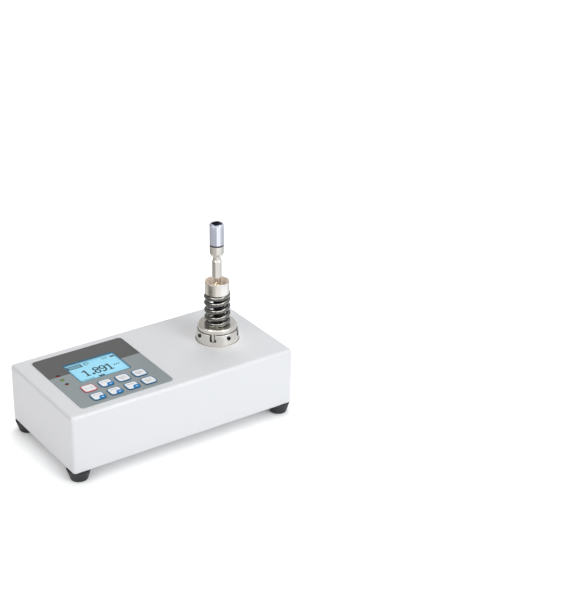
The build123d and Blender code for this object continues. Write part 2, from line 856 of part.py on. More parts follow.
# Slotted ring: a tapered rim round a seat, with four open slots and four set screw holes
with BuildPart() as sensor_ring:
    with BuildSketch(section()) as ring_section:
        Polygon(
            (ring_bore, hub_z),
            (ring_radius, hub_z),
            (ring_radius, top_z),
            (ring_top_radius, ring_z),
            (ring_seat_radius, ring_z),
            (ring_seat_radius, seat_z),
            (ring_bore, seat_z),
            align=None,
        )
        rim_edge = ring_section.vertices().group_by(Axis.Y)[-1].sort_by(Axis.X)[-1]
        chamfer(rim_edge, ring_edge)
    revolve(axis=upright())
    with BuildSketch(Plane.XY.offset(seat_z + slot_floor)):
        with Locations((column_x, 0)):
            with PolarLocations(ring_radius, 4, start_angle=slot_turn):
                Rectangle(ring_radius, slot_width)
    extrude(amount=ring_z - seat_z, mode=Mode.SUBTRACT)
    for x, y in column_places(1.0):
        with BuildSketch(set_screw_plane(x - column_x, y)):
            Circle(set_screw_radius + set_screw_gap)
        extrude(amount=ring_radius, mode=Mode.SUBTRACT)
    with BuildSketch(Plane.XY.offset(hub_z)):
        with Locations(*column_places(ring_screw_circle)):
            Circle(ring_screw_radius + hole_clearance)
    extrude(amount=seat_z - hub_z, mode=Mode.SUBTRACT)
    with BuildSketch(Plane.XY.offset(seat_z)):
        with Locations(*column_places(ring_screw_circle)):
            Circle(ring_head_radius + hole_clearance)
    extrude(amount=-(ring_head_height + hole_clearance), mode=Mode.SUBTRACT)
sensor_ring.part.label = "sensor_ring"
export_step(sensor_ring.part, "parts/sensor_ring.step")

with BuildPart() as ring_screws:
    with BuildSketch(Plane.XY.offset(seat_z - ring_head_height - hole_clearance)):
        with Locations(*column_places(ring_screw_circle)):
            Circle(ring_head_radius)
    extrude(amount=ring_head_height)
    with BuildSketch(Plane.XY.offset(seat_z - ring_head_height - hole_clearance)):
        with Locations(*column_places(ring_screw_circle)):
            Circle(ring_screw_radius)
    extrude(amount=hub_z - ring_screw_grip - (seat_z - ring_head_height - hole_clearance))
ring_screws.part.label = "ring_screws"
export_step(ring_screws.part, "parts/ring_screws.step")

# Set screws in the ring, against the flange of the spring joint
set_screw_start = ring_seat_radius - flange_clearance
set_screw_length = ring_radius + set_screw_proud - set_screw_start
with BuildPart() as set_screws:
    for x, y in column_places(1.0):
        with BuildSketch(set_screw_plane(x - column_x, y).offset(set_screw_start)):
            Circle(set_screw_radius)
        extrude(amount=set_screw_length)
        with BuildSketch(set_screw_plane(x - column_x, y).offset(ring_radius + set_screw_proud)):
            RegularPolygon(set_screw_key / 2, 6, major_radius=False)
        extrude(amount=-set_screw_key_depth, mode=Mode.SUBTRACT)
set_screws.part.label = "set_screws"
export_step(set_screws.part, "parts/set_screws.step")

# Flange of the spring joint: sits in the ring, with a driving lug in each slot
disc_radius = ring_seat_radius - flange_clearance
lug_z = seat_z + slot_floor + flange_clearance
spigot_radius = spring_radius - spring_wire - spigot_clearance
drive_bore = drive_screw_radius + thread_clearance
with BuildPart() as joint_flange:
    with BuildSketch(section()) as flange_section:
        Polygon(
            (drive_bore, seat_z),
            (disc_radius, seat_z),
            (disc_radius, lip_z),
            (flange_radius, lip_z),
            (flange_radius, flange_z),
            (spigot_radius, flange_z),
            (spigot_radius, flange_z + spigot_height),
            (drive_bore, flange_z + spigot_height),
            align=None,
        )
        lip_edge = flange_section.vertices().filter_by_position(
            Axis.Y, flange_z - flange_edge / 2, flange_z + flange_edge / 2
        )
        chamfer(lip_edge.sort_by(Axis.X)[-1], flange_edge)
    revolve(axis=upright())
    with BuildSketch(Plane.XY.offset(lug_z)):
        with Locations((column_x, 0)):
            with PolarLocations((disc_radius + lug_reach) / 2 - lug_width, 4, start_angle=slot_turn):
                Rectangle(lug_reach - disc_radius + 2 * lug_width, lug_width)
    extrude(amount=lip_z - lug_z)
joint_flange.part.label = "joint_flange"
export_step(joint_flange.part, "parts/joint_flange.step")

# Spring: a right-hand coil in three stretches, with closed ends ground flat
coil_radius = spring_radius - spring_wire / 2
coil_z = spring_wire / 2 - spring_ground
coil_low_rise = spring_low_turns * spring_closed_pitch
coil_high_rise = spring_high_turns * spring_closed_pitch
coil_open_rise = spring_length - 2 * coil_z - coil_low_rise - coil_high_rise


def coil_stretch(turns, rise, start_turns, start_z):
    """One stretch of the coil's centre line, from a number of turns round and a height."""
    stretch = Helix(rise / turns, rise, coil_radius, mode=Mode.PRIVATE)
    return stretch.moved(Location((0, 0, start_z), (0, 0, 360 * start_turns)))


with BuildPart() as spring_coil:
    with BuildLine() as coil_path:
        add(coil_stretch(spring_low_turns, coil_low_rise, 0, coil_z))
        add(coil_stretch(spring_open_turns, coil_open_rise, spring_low_turns, coil_z + coil_low_rise))
        add(
            coil_stretch(
                spring_high_turns,
                coil_high_rise,
                spring_low_turns + spring_open_turns,
                spring_length - coil_z - coil_high_rise,
            )
        )
    with BuildSketch(Plane(origin=coil_path.line @ 0, z_dir=coil_path.line % 0)):
        Circle(spring_wire / 2)
    sweep(path=coil_path.line, is_frenet=True, transition=Transition.TRANSFORMED)
    with BuildSketch():
        Circle(spring_radius + spring_wire)
    extrude(amount=spring_length, mode=Mode.INTERSECT)

with BuildPart() as joint_spring:
    with Locations((column_x, 0, flange_z)):
        add(spring_coil.part, rotation=(0, 0, spring_start))
joint_spring.part.label = "joint_spring"
export_step(joint_spring.part, "parts/joint_spring.step")

# Cup: a thin-walled seat for the screw's head, with a spigot in the spring
cup_bore = drive_screw_radius + drive_screw_gap
with BuildPart() as spring_cup:
    with BuildSketch(section()) as cup_section:
        Polygon(
            (cup_bore, cup_z - spigot_height),
            (spigot_radius, cup_z - spigot_height),
            (spigot_radius, cup_z),
            (cup_radius, cup_z),
            (cup_radius, cup_z + cup_height),
            (cup_radius - cup_wall, cup_z + cup_height),
            (cup_radius - cup_wall, cup_z + cup_floor),
            (cup_bore, cup_z + cup_floor),
            align=None,
        )
        chamfer(cup_section.vertices().group_by(Axis.Y)[-1], cup_edge)
    revolve(axis=upright())
spring_cup.part.label = "spring_cup"
export_step(spring_cup.part, "parts/spring_cup.step")

# Drive screw: its head in the cup, its shank through the spring into the flange
shank_end_z = flange_z - drive_screw_reach
recess_wing = tip_wing + 2 * recess_clearance
recess_grow = 2 * tip_depth * tan(radians(tip_slope))
recess_reach = tip_end_radius + recess_clearance
recess_flare = tip_depth * (tip_radius - tip_end_radius) / tip_cone
with BuildPart() as drive_screw:
    with BuildSketch(section()) as screw_section:
        Polygon(
            (0, shank_end_z),
            (drive_screw_radius, shank_end_z),
            (drive_screw_radius, head_z),
            (drive_head_radius, head_z),
            (drive_head_radius, head_top_z),
            (0, head_top_z),
            align=None,
        )
        chamfer(screw_section.vertices().group_by(Axis.Y)[0].sort_by(Axis.X)[-1], drive_screw_edge)
        fillet(screw_section.vertices().group_by(Axis.Y)[-1].sort_by(Axis.X)[-1], drive_head_edge)
    revolve(axis=upright())
    with BuildSketch(Plane.XY.offset(head_top_z - recess_depth)):
        with Locations((column_x, 0)):
            Rectangle(2 * recess_reach, recess_wing)
            Rectangle(recess_wing, 2 * recess_reach)
    with BuildSketch(Plane.XY.offset(head_top_z)):
        with Locations((column_x, 0)):
            Rectangle(2 * (recess_reach + recess_flare), recess_wing + recess_grow)
            Rectangle(recess_wing + recess_grow, 2 * (recess_reach + recess_flare))
    loft(mode=Mode.SUBTRACT)
drive_screw.part.label = "drive_screw"
export_step(drive_screw.part, "parts/drive_screw.step")

# Bit: a fluted cross tip, then a hexagon with a turned groove
bit_corner = bit_flats / sqrt(3)
bit_top_z = nose_z + bit_grip
flute_offset = tip_wing / 2 + tip_radius
with BuildPart() as hex_bit:
    with BuildSketch(Plane.XY.offset(hex_z)):
        with Locations((column_x, 0)):
            RegularPolygon(bit_flats / 2, 6, major_radius=False, rotation=bit_turn)
    extrude(amount=bit_top_z - hex_z)
    with BuildSketch(section()) as bit_section:
        Polygon(
            (0, hex_z),
            (bit_corner, hex_z),
            (bit_corner, groove_z - bit_chamfer),
            (groove_radius, groove_z),
            (groove_radius, nose_z),
            (bit_corner, nose_z + bit_chamfer),
            (bit_corner, bit_top_z),
            (0, bit_top_z),
            align=None,
        )
        chamfer(bit_section.vertices().group_by(Axis.Y)[-1].sort_by(Axis.X)[-1], bit_edge)
    revolve(axis=upright(), mode=Mode.INTERSECT)
    with BuildSketch(section()):
        Polygon(
            (0, tip_z),
            (tip_end_radius, tip_z),
            (tip_radius, tip_z + tip_cone),
            (tip_radius, hex_z),
            (0, hex_z),
            align=None,
        )
    revolve(axis=upright())
    with BuildSketch(Plane.XY.offset(tip_z)):
        with Locations(*corner_places(2 * flute_offset, 2 * flute_offset, column_x, 0)):
            Rectangle(2 * tip_radius, 2 * tip_radius)
    extrude(amount=tip_length, taper=tip_slope, mode=Mode.SUBTRACT)
hex_bit.part.label = "hex_bit"
export_step(hex_bit.part, "parts/hex_bit.step")

# Bit holder: a nose with a hexagon bore, and a stem that goes up into the sleeve
with BuildPart() as bit_holder:
    with BuildSketch(section()):
        Polygon(
            (0, nose_z),
            (nose_radius, nose_z),
            (holder_radius, nose_z + nose_cone),
            (holder_radius, collar_z),
            (holder_stem_radius, collar_z),
            (holder_stem_radius, sleeve_z + holder_stem_length),
            (0, sleeve_z + holder_stem_length),
            align=None,
        )
    revolve(axis=upright())
    with BuildSketch(Plane.XY.offset(nose_z)):
        with Locations((column_x, 0)):
            RegularPolygon(
                bit_flats / 2 + bit_clearance, 6, major_radius=False, rotation=bit_turn
            )
    extrude(amount=bit_grip + bit_clearance, mode=Mode.SUBTRACT)
bit_holder.part.label = "bit_holder"
export_step(bit_holder.part, "parts/bit_holder.step")

# Black collar between the holder's nose and the sleeve
with BuildPart() as holder_collar:
    with BuildSketch(Plane.XY.offset(collar_z)):
        with Locations((column_x, 0)):
            Circle(collar_radius)
            Circle(holder_stem_radius + thread_clearance, mode=Mode.SUBTRACT)
    extrude(amount=collar_thickness)
holder_collar.part.label = "holder_collar"
export_step(holder_collar.part, "parts/holder_collar.step")

# Sleeve: sits on the holder's stem and takes a square drive from above
square_hole = square_side + 2 * square_clearance
with BuildPart() as drive_sleeve:
    with BuildSketch(section()) as sleeve_section:
        Polygon(
            (0, sleeve_z + holder_stem_length),
            (holder_stem_radius + thread_clearance, sleeve_z + holder_stem_length),
            (holder_stem_radius + thread_clearance, sleeve_z),
            (holder_radius, sleeve_z),
            (holder_radius, drive_z),
            (0, drive_z),
            align=None,
        )
        chamfer(sleeve_section.vertices().group_by(Axis.Y)[-1].sort_by(Axis.X)[-1], sleeve_edge)
    revolve(axis=upright())
    with BuildSketch(Plane.XY.offset(drive_z)):
        with Locations((column_x, 0)):
            Rectangle(square_hole, square_hole)
    extrude(amount=-square_depth, mode=Mode.SUBTRACT)
drive_sleeve.part.label = "drive_sleeve"
export_step(drive_sleeve.part, "parts/drive_sleeve.step")
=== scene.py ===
"""Finished look of a bench torque tester, built round its solids.

The white case, its display panel and the slotted ring with the spring joint are dressed here:
turned metal, printed foil, lamps, keys and the coil spring under the cup.
Lengths are in metres, +Z is up and the origin is the middle of the footprint on the bench.
"""

from __future__ import annotations

import logging
import math
from collections.abc import Callable
from dataclasses import dataclass, field
from enum import Enum

import bmesh
import bpy
from bmesh.types import BMesh, BMVert
from bpy.types import Material, MeshPolygon, Node, NodeSocket, NodeTree, Object
from mathutils import Matrix, Quaternion, Vector

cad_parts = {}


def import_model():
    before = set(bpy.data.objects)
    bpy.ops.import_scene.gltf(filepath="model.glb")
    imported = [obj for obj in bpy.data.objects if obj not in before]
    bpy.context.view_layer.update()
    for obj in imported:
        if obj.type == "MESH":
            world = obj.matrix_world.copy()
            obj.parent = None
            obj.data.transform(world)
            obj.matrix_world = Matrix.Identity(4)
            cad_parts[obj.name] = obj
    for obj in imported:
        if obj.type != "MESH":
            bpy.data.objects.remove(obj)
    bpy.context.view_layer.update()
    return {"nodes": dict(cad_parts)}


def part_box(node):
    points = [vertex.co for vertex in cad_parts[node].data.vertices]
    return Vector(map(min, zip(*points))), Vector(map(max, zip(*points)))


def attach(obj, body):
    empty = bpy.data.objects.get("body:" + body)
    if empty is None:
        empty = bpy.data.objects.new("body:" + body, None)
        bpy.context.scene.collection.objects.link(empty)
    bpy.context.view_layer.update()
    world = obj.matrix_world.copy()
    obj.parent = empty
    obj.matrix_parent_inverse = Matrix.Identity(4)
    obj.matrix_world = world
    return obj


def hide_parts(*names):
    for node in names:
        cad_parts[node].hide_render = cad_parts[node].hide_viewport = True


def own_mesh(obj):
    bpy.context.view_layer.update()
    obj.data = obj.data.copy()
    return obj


LOG = logging.getLogger("torque_tester")
MM = 0.001
FULL_TURN = 2 * math.pi
UP = Vector((0, 0, 1))
IMAGE_SIZE = (568, 600)
SENSOR_WIDTH = 36.0
BAND_WIDTH = 29.7 * MM
SEAM = 0.0005 * MM
FACET_SEAM = 0.002 * MM
CORNER_FACETS = 6

Colour = tuple[float, float, float]
Place = tuple[float, float, float]
Pair = tuple[float, float]
Inputs = dict[str | int, object]

# A bar is its middle along X and Y, its length and its width, in millimetres
Bar = tuple[float, float, float, float]

# Green and blue of the light round the torque axis, as shares of its red
WARM_TINT = (0.985, 0.965)
AMBER_TINT = (0.97, 0.91)
COOL_TINT = (1.025, 1.09)

# Where the light's right and left sides lie, in degrees to the right of the camera
RIGHT_SIDE = range(31, 180)
LEFT_SIDE = range(-99, -20)


class KeyStyle(Enum):
    """The printed marks of each kind of key, from the key's middle."""

    POWER = ((-2.1, 0.0, 0.5, 1.4), (0.0, 0.0, 1.5, 0.4), (2.1, 0.0, 1.2, 1.2))
    CORNER = ((-1.9, 2.0, 2.2, 0.45), (0.5, 2.0, 1.8, 0.45), (2.3, 2.0, 1.0, 0.45))
    PLAIN = (
        (-1.7, 1.4, 2.4, 0.45), (1.3, 1.4, 2.6, 0.45), (-1.1, 0.0, 3.2, 0.45),
        (2.0, 0.0, 1.6, 0.45), (-0.6, -1.4, 3.4, 0.45),
    )


KEYS = {
    "key_power": KeyStyle.POWER,
    "key_rear_2": KeyStyle.CORNER,
    "key_rear_3": KeyStyle.PLAIN,
    "key_rear_4": KeyStyle.PLAIN,
    "key_front_1": KeyStyle.CORNER,
    "key_front_2": KeyStyle.CORNER,
    "key_front_3": KeyStyle.CORNER,
    "key_front_4": KeyStyle.PLAIN,
}

# Bars of the display's signs, from the window's near left corner
FRAME_BARS: list[Bar] = [
    (7.1, 26.0, 10.4, 0.6), (7.1, 21.9, 10.4, 0.6), (1.6, 23.95, 0.6, 4.7), (12.6, 23.95, 0.6, 4.7),
    *((2.4 + 1.35 * i, 23.95, 0.75, 3.4) for i in range(8)),
]
UNIT_BARS: list[Bar] = [(33.6, 12.2, 1.0, 1.5), (35.3, 12.2, 0.9, 1.5), (37.0, 12.2, 1.0, 1.5)]
CLOCK_BARS: list[Bar] = [(30.0 + 1.1 * i, 24.5, 0.6, 1.4) for i in range(4)]
SCALE_BARS: list[Bar] = [(7.0, 2.9, 11.0, 0.3), *((1.8 + 1.04 * i, 3.5, 0.3, 0.8) for i in range(11))]
CELL_BARS: list[Bar] = [(38.0, 24.4, 3.4, 1.9), (40.0, 24.4, 0.5, 0.9)]
TAB_BARS: list[Bar] = [(18.2, 3.0, 4.6, 2.0)]

# The display's digits, each row of dots from the top
DIGITS = {
    "1": ("...##...", ".####...", "##.##...", *("...##...",) * 8, ".######."),
    "8": (
        "..####..", ".##..##.", "##....##", "##....##", ".##..##.", "..####..",
        ".##..##.", *("##....##",) * 3, ".##..##.", "..####..",
    ),
    "9": (
        "..####..", ".##..##.", *("##....##",) * 3, ".##..###",
        "..###.##", "......##", "......##", ".....##.", ".##.##..", ".####...",
    ),
    ".": ("........",) * 9 + ("###.....",) * 3,
}


def tone(red: int, green: int, blue: int) -> Colour:
    """Turn a display colour into the linear one that a shader takes.

    Args:
        red: Display red, 0 to 255.
        green: Display green, 0 to 255.
        blue: Display blue, 0 to 255.

    Returns:
        The linear colour.
    """

    def linear(value: int) -> float:
        """Give one channel's linear value."""
        share = value / 255
        return share / 12.92 if share <= 0.04045 else ((share + 0.055) / 1.055) ** 2.4

    return linear(red), linear(green), linear(blue)


class Strips(Enum):
    """Light round the torque axis: degrees to the right of the camera, and brightness."""

    CUP = (
        (-180, 0.5), (-120, 0.75), (-95, 0.72), (-68, 0.18), (-48, 0.2), (-28, 0.62), (-13, 0.8),
        (-4, 1.12), (25, 1.15), (45, 1.35), (95, 1.35), (130, 0.8), (180, 0.5),
    )
    BIT = (
        (-180, 0.56), (-150, 0.42), (-75, 0.45), (-60, 0.62), (-14, 0.68), (-2, 1.05), (50, 1.0),
        (110, 0.76), (150, 0.74), (180, 0.62),
    )
    SLEEVE = (
        (-180, 0.4), (-110, 0.6), (-60, 0.7), (0, 0.72), (6, 1.5), (58, 1.5), (66, 0.95),
        (95, 0.9), (130, 0.7), (180, 0.4),
    )

    def tint(self, degrees: int) -> tuple[float, float]:
        """Tint the light at one place round the axis.

        Args:
            degrees: Degrees to the right of the camera.

        Returns:
            Its green and its blue as shares of its red.
        """
        if degrees in RIGHT_SIDE and self is not Strips.SLEEVE:
            return COOL_TINT
        if degrees in LEFT_SIDE and self is Strips.CUP:
            return AMBER_TINT
        return WARM_TINT


class Body(str, Enum):
    """The bodies of the frame that more than one piece rides on."""

    TESTER = "tester"
    CUP = "cup"
    DRIVE = "drive"


class Nodes:
    """A node tree while it is being made."""

    def __init__(self, tree: NodeTree) -> None:
        """Start with a tree."""
        self.tree = tree
        self._place: NodeSocket | None = None

    def feed(self, node: Node, inputs: Inputs) -> None:
        """Give a node's inputs their values or links.

        Args:
            node: The node.
            inputs: For an input's name or number, a number, a vector, a colour or a socket.
        """
        for key, value in inputs.items():
            target = node.inputs[key]
            if isinstance(value, NodeSocket):
                self.tree.links.new(value, target)
            elif isinstance(value, (int, float)):
                target.default_value = value
            else:
                target.default_value = (*value, 1.0)[:len(target.default_value)]

    def node(self, kind: str, inputs: Inputs, **settings: object) -> Node:
        """Add a node.

        Args:
            kind: The node's type.
            inputs: What its inputs get.
            **settings: Its properties.

        Returns:
            The node.
        """
        made = self.tree.nodes.new(kind)
        for key, value in settings.items():
            setattr(made, key, value)
        self.feed(made, inputs)
        return made

    def place(self) -> NodeSocket:
        """Give the object coordinates, in metres in the part's own frame.

        Returns:
            Their socket, made once.
        """
        if self._place is None:
            self._place = self.node("ShaderNodeTexCoord", {}).outputs["Object"]
        return self._place

    def axis(self, letter: str) -> NodeSocket:
        """Give one of the object coordinates."""
        return self.node("ShaderNodeSeparateXYZ", {0: self.place()}).outputs[letter]

    def math(self, operation: str, first: object, second: object = 0.0) -> NodeSocket:
        """Give the result of a math node."""
        return self.node("ShaderNodeMath", {0: first, 1: second}, operation=operation).outputs[0]

    def vector(self, operation: str, first: object, second: object = (0, 0, 0)) -> NodeSocket:
        """Give the result of a vector math node: a number for a length or a dot product."""
        made = self.node("ShaderNodeVectorMath", {0: first, 1: second}, operation=operation)
        return made.outputs["Value" if operation in ("LENGTH", "DOT_PRODUCT") else "Vector"]

    def from_axis(self, x: float, y: float = 0.0) -> NodeSocket:
        """Give the distance from an upright axis."""
        offset = self.vector("SUBTRACT", self.place(), (x, y, 0))
        return self.vector("LENGTH", self.vector("MULTIPLY", offset, (1, 1, 0)))

    def noise(self, size: float, detail: float, where: NodeSocket | None = None) -> NodeSocket:
        """Give a noise of 0 to 1.

        Args:
            size: About how large its features are, in metres.
            detail: Octaves of finer noise.
            where: The place at which it is read, or none for the object coordinates.

        Returns:
            The noise's socket.
        """
        inputs = {"Scale": 1 / size, "Detail": detail, "Vector": where or self.place()}
        return self.node("ShaderNodeTexNoise", inputs).outputs["Fac"]

    def spread(self, source: NodeSocket, low: float, high: float, start: float = 0.0,
               end: float = 1.0) -> NodeSocket:
        """Map a value from one range onto another, and hold it beyond the ends.

        Args:
            source: The value.
            low: What it becomes at the start.
            high: What it becomes at the end.
            start: Where its own range starts.
            end: Where its own range ends.

        Returns:
            The mapped value's socket.
        """
        inputs = {"Value": source, "From Min": start, "From Max": end, "To Min": low, "To Max": high}
        return self.node("ShaderNodeMapRange", inputs).outputs["Result"]

    def mix(self, factor: NodeSocket, first: object, second: object) -> NodeSocket:
        """Mix two colours, each a colour or a socket, by a factor."""
        made = self.node("ShaderNodeMix", {0: factor, 6: first, 7: second}, data_type="RGBA")
        return made.outputs[2]


class Shade(Nodes):
    """One surface material while it is being made."""

    def __init__(self, name: str) -> None:
        """Start a material with its standard shader.

        Args:
            name: The material's name.
        """
        self.material = bpy.data.materials.new(name)
        self.material.use_nodes = True
        super().__init__(self.material.node_tree)
        self.shader = self.tree.nodes["Principled BSDF"]

    def surface(self, inputs: Inputs) -> None:
        """Give the standard shader's inputs their values or links."""
        self.feed(self.shader, inputs)

    def bump(self, height: NodeSocket, depth: float) -> None:
        """Raise the surface by a height times a depth in metres."""
        made = self.node("ShaderNodeBump", {"Distance": depth, "Height": height})
        self.surface({"Normal": made.outputs[0]})

    def light(self, colour: object, strength: float) -> Material:
        """Make the material give off light, and reflect none.

        Args:
            colour: The light's colour, or its socket.
            strength: The light's strength.

        Returns:
            The material.
        """
        self.surface({
            "Base Color": (0, 0, 0), "Specular IOR Level": 0.0, "Emission Color": colour,
            "Emission Strength": strength,
        })
        return self.material


@dataclass(frozen=True)
class Finish:
    """A surface finish: a colour that varies a little, over a fine grain.

    Attributes:
        name: The material's name.
        colour: Linear base colour.
        roughness: Mean roughness.
        metallic: 1 for bare metal.
        mottle: Share by which the colour varies.
        mottle_size: Size of the colour's patches.
        rough_swing: How far the roughness varies.
        grain_size: Size of the surface's grain.
        grain_depth: Height of the grain.
        specular: Specular level.
        glow: Strength of the light that it gives off in its own colour.
    """

    name: str
    colour: Colour
    roughness: float
    metallic: float = 0.0
    mottle: float = 0.04
    mottle_size: float = 12 * MM
    rough_swing: float = 0.04
    grain_size: float = 0.5 * MM
    grain_depth: float = 0.004 * MM
    specular: float = 0.5
    glow: float = 0.0

    def material(self) -> Material:
        """Give the finish's material, made once.

        Returns:
            The material.
        """
        found = bpy.data.materials.get(self.name)
        if found is not None:
            return found
        shade = Shade(self.name)
        shade.surface({
            "Metallic": self.metallic, "Specular IOR Level": self.specular,
            "Base Color": self.paint(shade), "Roughness": self.wear(shade),
        })
        self.relief(shade)
        self.extra(shade)
        return shade.material

    def patches(self, shade: Shade, colour: Colour) -> NodeSocket:
        """Give a colour that is a little darker in patches."""
        dark = tuple(channel * (1 - self.mottle) for channel in colour)
        return shade.mix(shade.noise(self.mottle_size, 3.0), dark, colour)

    def paint(self, shade: Shade) -> NodeSocket:
        """Give the base colour."""
        return self.patches(shade, self.colour)

    def smears(self, shade: Shade) -> NodeSocket:
        """Give the noise that the roughness follows."""
        return shade.noise(self.mottle_size / 3, 4.0)

    def wear(self, shade: Shade) -> NodeSocket:
        """Give the roughness."""
        low, high = self.roughness - self.rough_swing, self.roughness + self.rough_swing
        return shade.spread(self.smears(shade), low, high)

    def relief(self, shade: Shade) -> None:
        """Raise the grain."""
        shade.bump(shade.noise(self.grain_size, 3.0), self.grain_depth)

    def extra(self, shade: Shade) -> None:
        """Add the light that the finish gives off."""
        if self.glow > 0:
            shade.surface({"Emission Color": self.colour, "Emission Strength": self.glow})


@dataclass(frozen=True)
class TurnedMetal(Finish):
    """Bare metal off a lathe, with fine rings round a vertical axis.

    Attributes:
        axis_x: Where the axis stands along X.
        line_pitch: Distance between turning lines.
        line_depth: Depth of the turning lines.
    """

    axis_x: float = 0.0
    line_pitch: float = 0.25 * MM
    line_depth: float = 0.0015 * MM

    def smears(self, shade: Shade) -> NodeSocket:
        """Give a noise that changes along the profile only, not round the axis."""
        profile = {"X": shade.from_axis(self.axis_x), "Y": shade.axis("Z")}
        return shade.noise(self.line_pitch, 2.0, shade.node("ShaderNodeCombineXYZ", profile).outputs[0])

    def relief(self, shade: Shade) -> None:
        """Raise the turning lines."""
        shade.bump(self.smears(shade), self.line_depth)


@dataclass(frozen=True)
class HeadedMetal(TurnedMetal):
    """Turned metal with a threaded shank and a head of another colour.

    Attributes:
        head_z: Height at which the head begins.
        head_colour: Linear colour of the head.
        thread_pitch: Rise of the shank's thread in one turn.
        thread_depth: Depth of the thread.
    """

    head_z: float = 0.0
    head_colour: Colour = (0.5, 0.5, 0.5)
    thread_pitch: float = 1.0 * MM
    thread_depth: float = 0.25 * MM

    def paint(self, shade: Shade) -> NodeSocket:
        """Give the shank's colour below and the head's above."""
        above = shade.math("GREATER_THAN", shade.axis("Z"), self.head_z)
        return shade.mix(above, super().paint(shade), self.head_colour)

    def relief(self, shade: Shade) -> None:
        """Cut a right-handed thread into the shank.

        Args:
            shade: The material.
        """
        across = shade.math("SUBTRACT", shade.axis("X"), self.axis_x)
        turn = shade.math("ARCTAN2", shade.axis("Y"), across)
        climb = shade.math("MULTIPLY", shade.axis("Z"), FULL_TURN / self.thread_pitch)
        wave = shade.math("SINE", shade.math("SUBTRACT", climb, turn))
        shank = shade.math("LESS_THAN", shade.axis("Z"), self.head_z)
        shade.bump(shade.math("MULTIPLY", wave, shank), self.thread_depth)


@dataclass(frozen=True)
class BandedFoil(Finish):
    """Printed foil: one colour up to a line across it, a darker one beyond.

    Attributes:
        band_colour: Linear colour beyond the line.
        band_y: Where the line runs.
    """

    band_colour: Colour = (0.1, 0.1, 0.1)
    band_y: float = 0.0

    def paint(self, shade: Shade) -> NodeSocket:
        """Give the two printed colours."""
        beyond = shade.math("GREATER_THAN", shade.axis("Y"), self.band_y)
        return shade.mix(beyond, self.patches(shade, self.colour), self.patches(shade, self.band_colour))


@dataclass(frozen=True)
class LitScreen(Finish):
    """Back-lit display glass with a fine dot grid.

    Attributes:
        dot: Pitch of the display's dots.
    """

    dot: float = 0.3 * MM

    def relief(self, shade: Shade) -> None:
        """Raise the grid of dots a little.

        Args:
            shade: The material.
        """
        turns = [shade.math("MULTIPLY", shade.axis(letter), FULL_TURN / self.dot) for letter in "XY"]
        waves = [shade.math("SINE", turn) for turn in turns]
        shade.bump(shade.math("MAXIMUM", *waves), self.grain_depth)


@dataclass(frozen=True)
class ClearPane(Finish):
    """Clear hard-coated pane: what is behind it shows, and its face shines.

    Attributes:
        cover: Share of what is behind it that it hides.
        bending: Its refractive index.
    """

    cover: float = 0.04
    bending: float = 1.49

    def extra(self, shade: Shade) -> None:
        """Let the light through."""
        shade.surface({"Alpha": self.cover, "IOR": self.bending})


@dataclass(frozen=True)
class TintedLamp(Finish):
    """Tinted resin lamp with a dark die in its middle.

    Attributes:
        centre: The lamp's axis, X and Y.
        core: Linear colour over the die.
        core_radius: Radius up to which the middle is darkest.
        core_reach: Radius at which the tint is full.
    """

    centre: Pair = (0.0, 0.0)
    core: Colour = (0.02, 0.02, 0.02)
    core_radius: float = 0.42 * MM
    core_reach: float = 0.91 * MM

    def paint(self, shade: Shade) -> NodeSocket:
        """Give the tint with its dark middle."""
        edge = shade.spread(shade.from_axis(*self.centre), 0.0, 1.0, self.core_radius, self.core_reach)
        return shade.mix(edge, self.core, self.colour)


@dataclass(frozen=True)
class Span:
    """The box of a CAD node."""

    low: Vector
    high: Vector

    @classmethod
    def of(cls, node: str) -> Span:
        """Measure a CAD node."""
        return cls(*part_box(node))

    @property
    def centre(self) -> Vector:
        """The box's middle."""
        return (self.low + self.high) / 2

    @property
    def size(self) -> Vector:
        """The box's size along each axis."""
        return self.high - self.low

    @property
    def top(self) -> Vector:
        """The middle of the box's upper face."""
        return Vector((*self.centre.xy, self.high.z))


def turned(profile: list[Pair], x: float, y: float, steps: int) -> BMesh:
    """Spin a closed profile round a vertical axis.

    Args:
        profile: The profile's points, each its radius and its height in metres.
        x: Where the axis stands along X.
        y: Where the axis stands along Y.
        steps: Facets round the axis.

    Returns:
        A mesh with its faces outwards.
    """
    bm = bmesh.new()
    verts = [bm.verts.new((x + radius, y, height)) for radius, height in profile]
    edges = [bm.edges.new(pair) for pair in zip(verts, verts[1:] + verts[:1])]
    bmesh.ops.spin(
        bm, geom=verts + edges, cent=(x, y, 0), axis=UP, angle=FULL_TURN, steps=steps,
        use_merge=True, use_duplicate=False,
    )
    bmesh.ops.remove_doubles(bm, verts=bm.verts, dist=SEAM)
    bmesh.ops.recalc_face_normals(bm, faces=bm.faces)
    return bm


def rectangle(bm: BMesh, length: float, width: float) -> list[BMVert]:
    """Add a flat rectangle round the origin.

    Args:
        bm: The mesh that it is added to.
        length: Size along X.
        width: Size along Y.

    Returns:
        Its corners.
    """
    corners = bmesh.ops.create_grid(bm, x_segments=1, y_segments=1, size=0.5)["verts"]
    bmesh.ops.scale(bm, vec=(length, width, 1), verts=corners)
    return corners


def rounded_sheet(length: float, width: float, radius: float, centre: Vector) -> BMesh:
    """Make a flat rectangle with round corners.

    Args:
        length: Size along X.
        width: Size along Y.
        radius: Radius of the corners.
        centre: Where its middle lies.

    Returns:
        A mesh of one face, upwards.
    """
    bm = bmesh.new()
    corners = rectangle(bm, length, width)
    bmesh.ops.bevel(bm, geom=corners, offset=radius, affect="VERTICES", segments=CORNER_FACETS,
                    profile=0.5, material=-1)
    bmesh.ops.translate(bm, vec=centre, verts=bm.verts)
    return bm


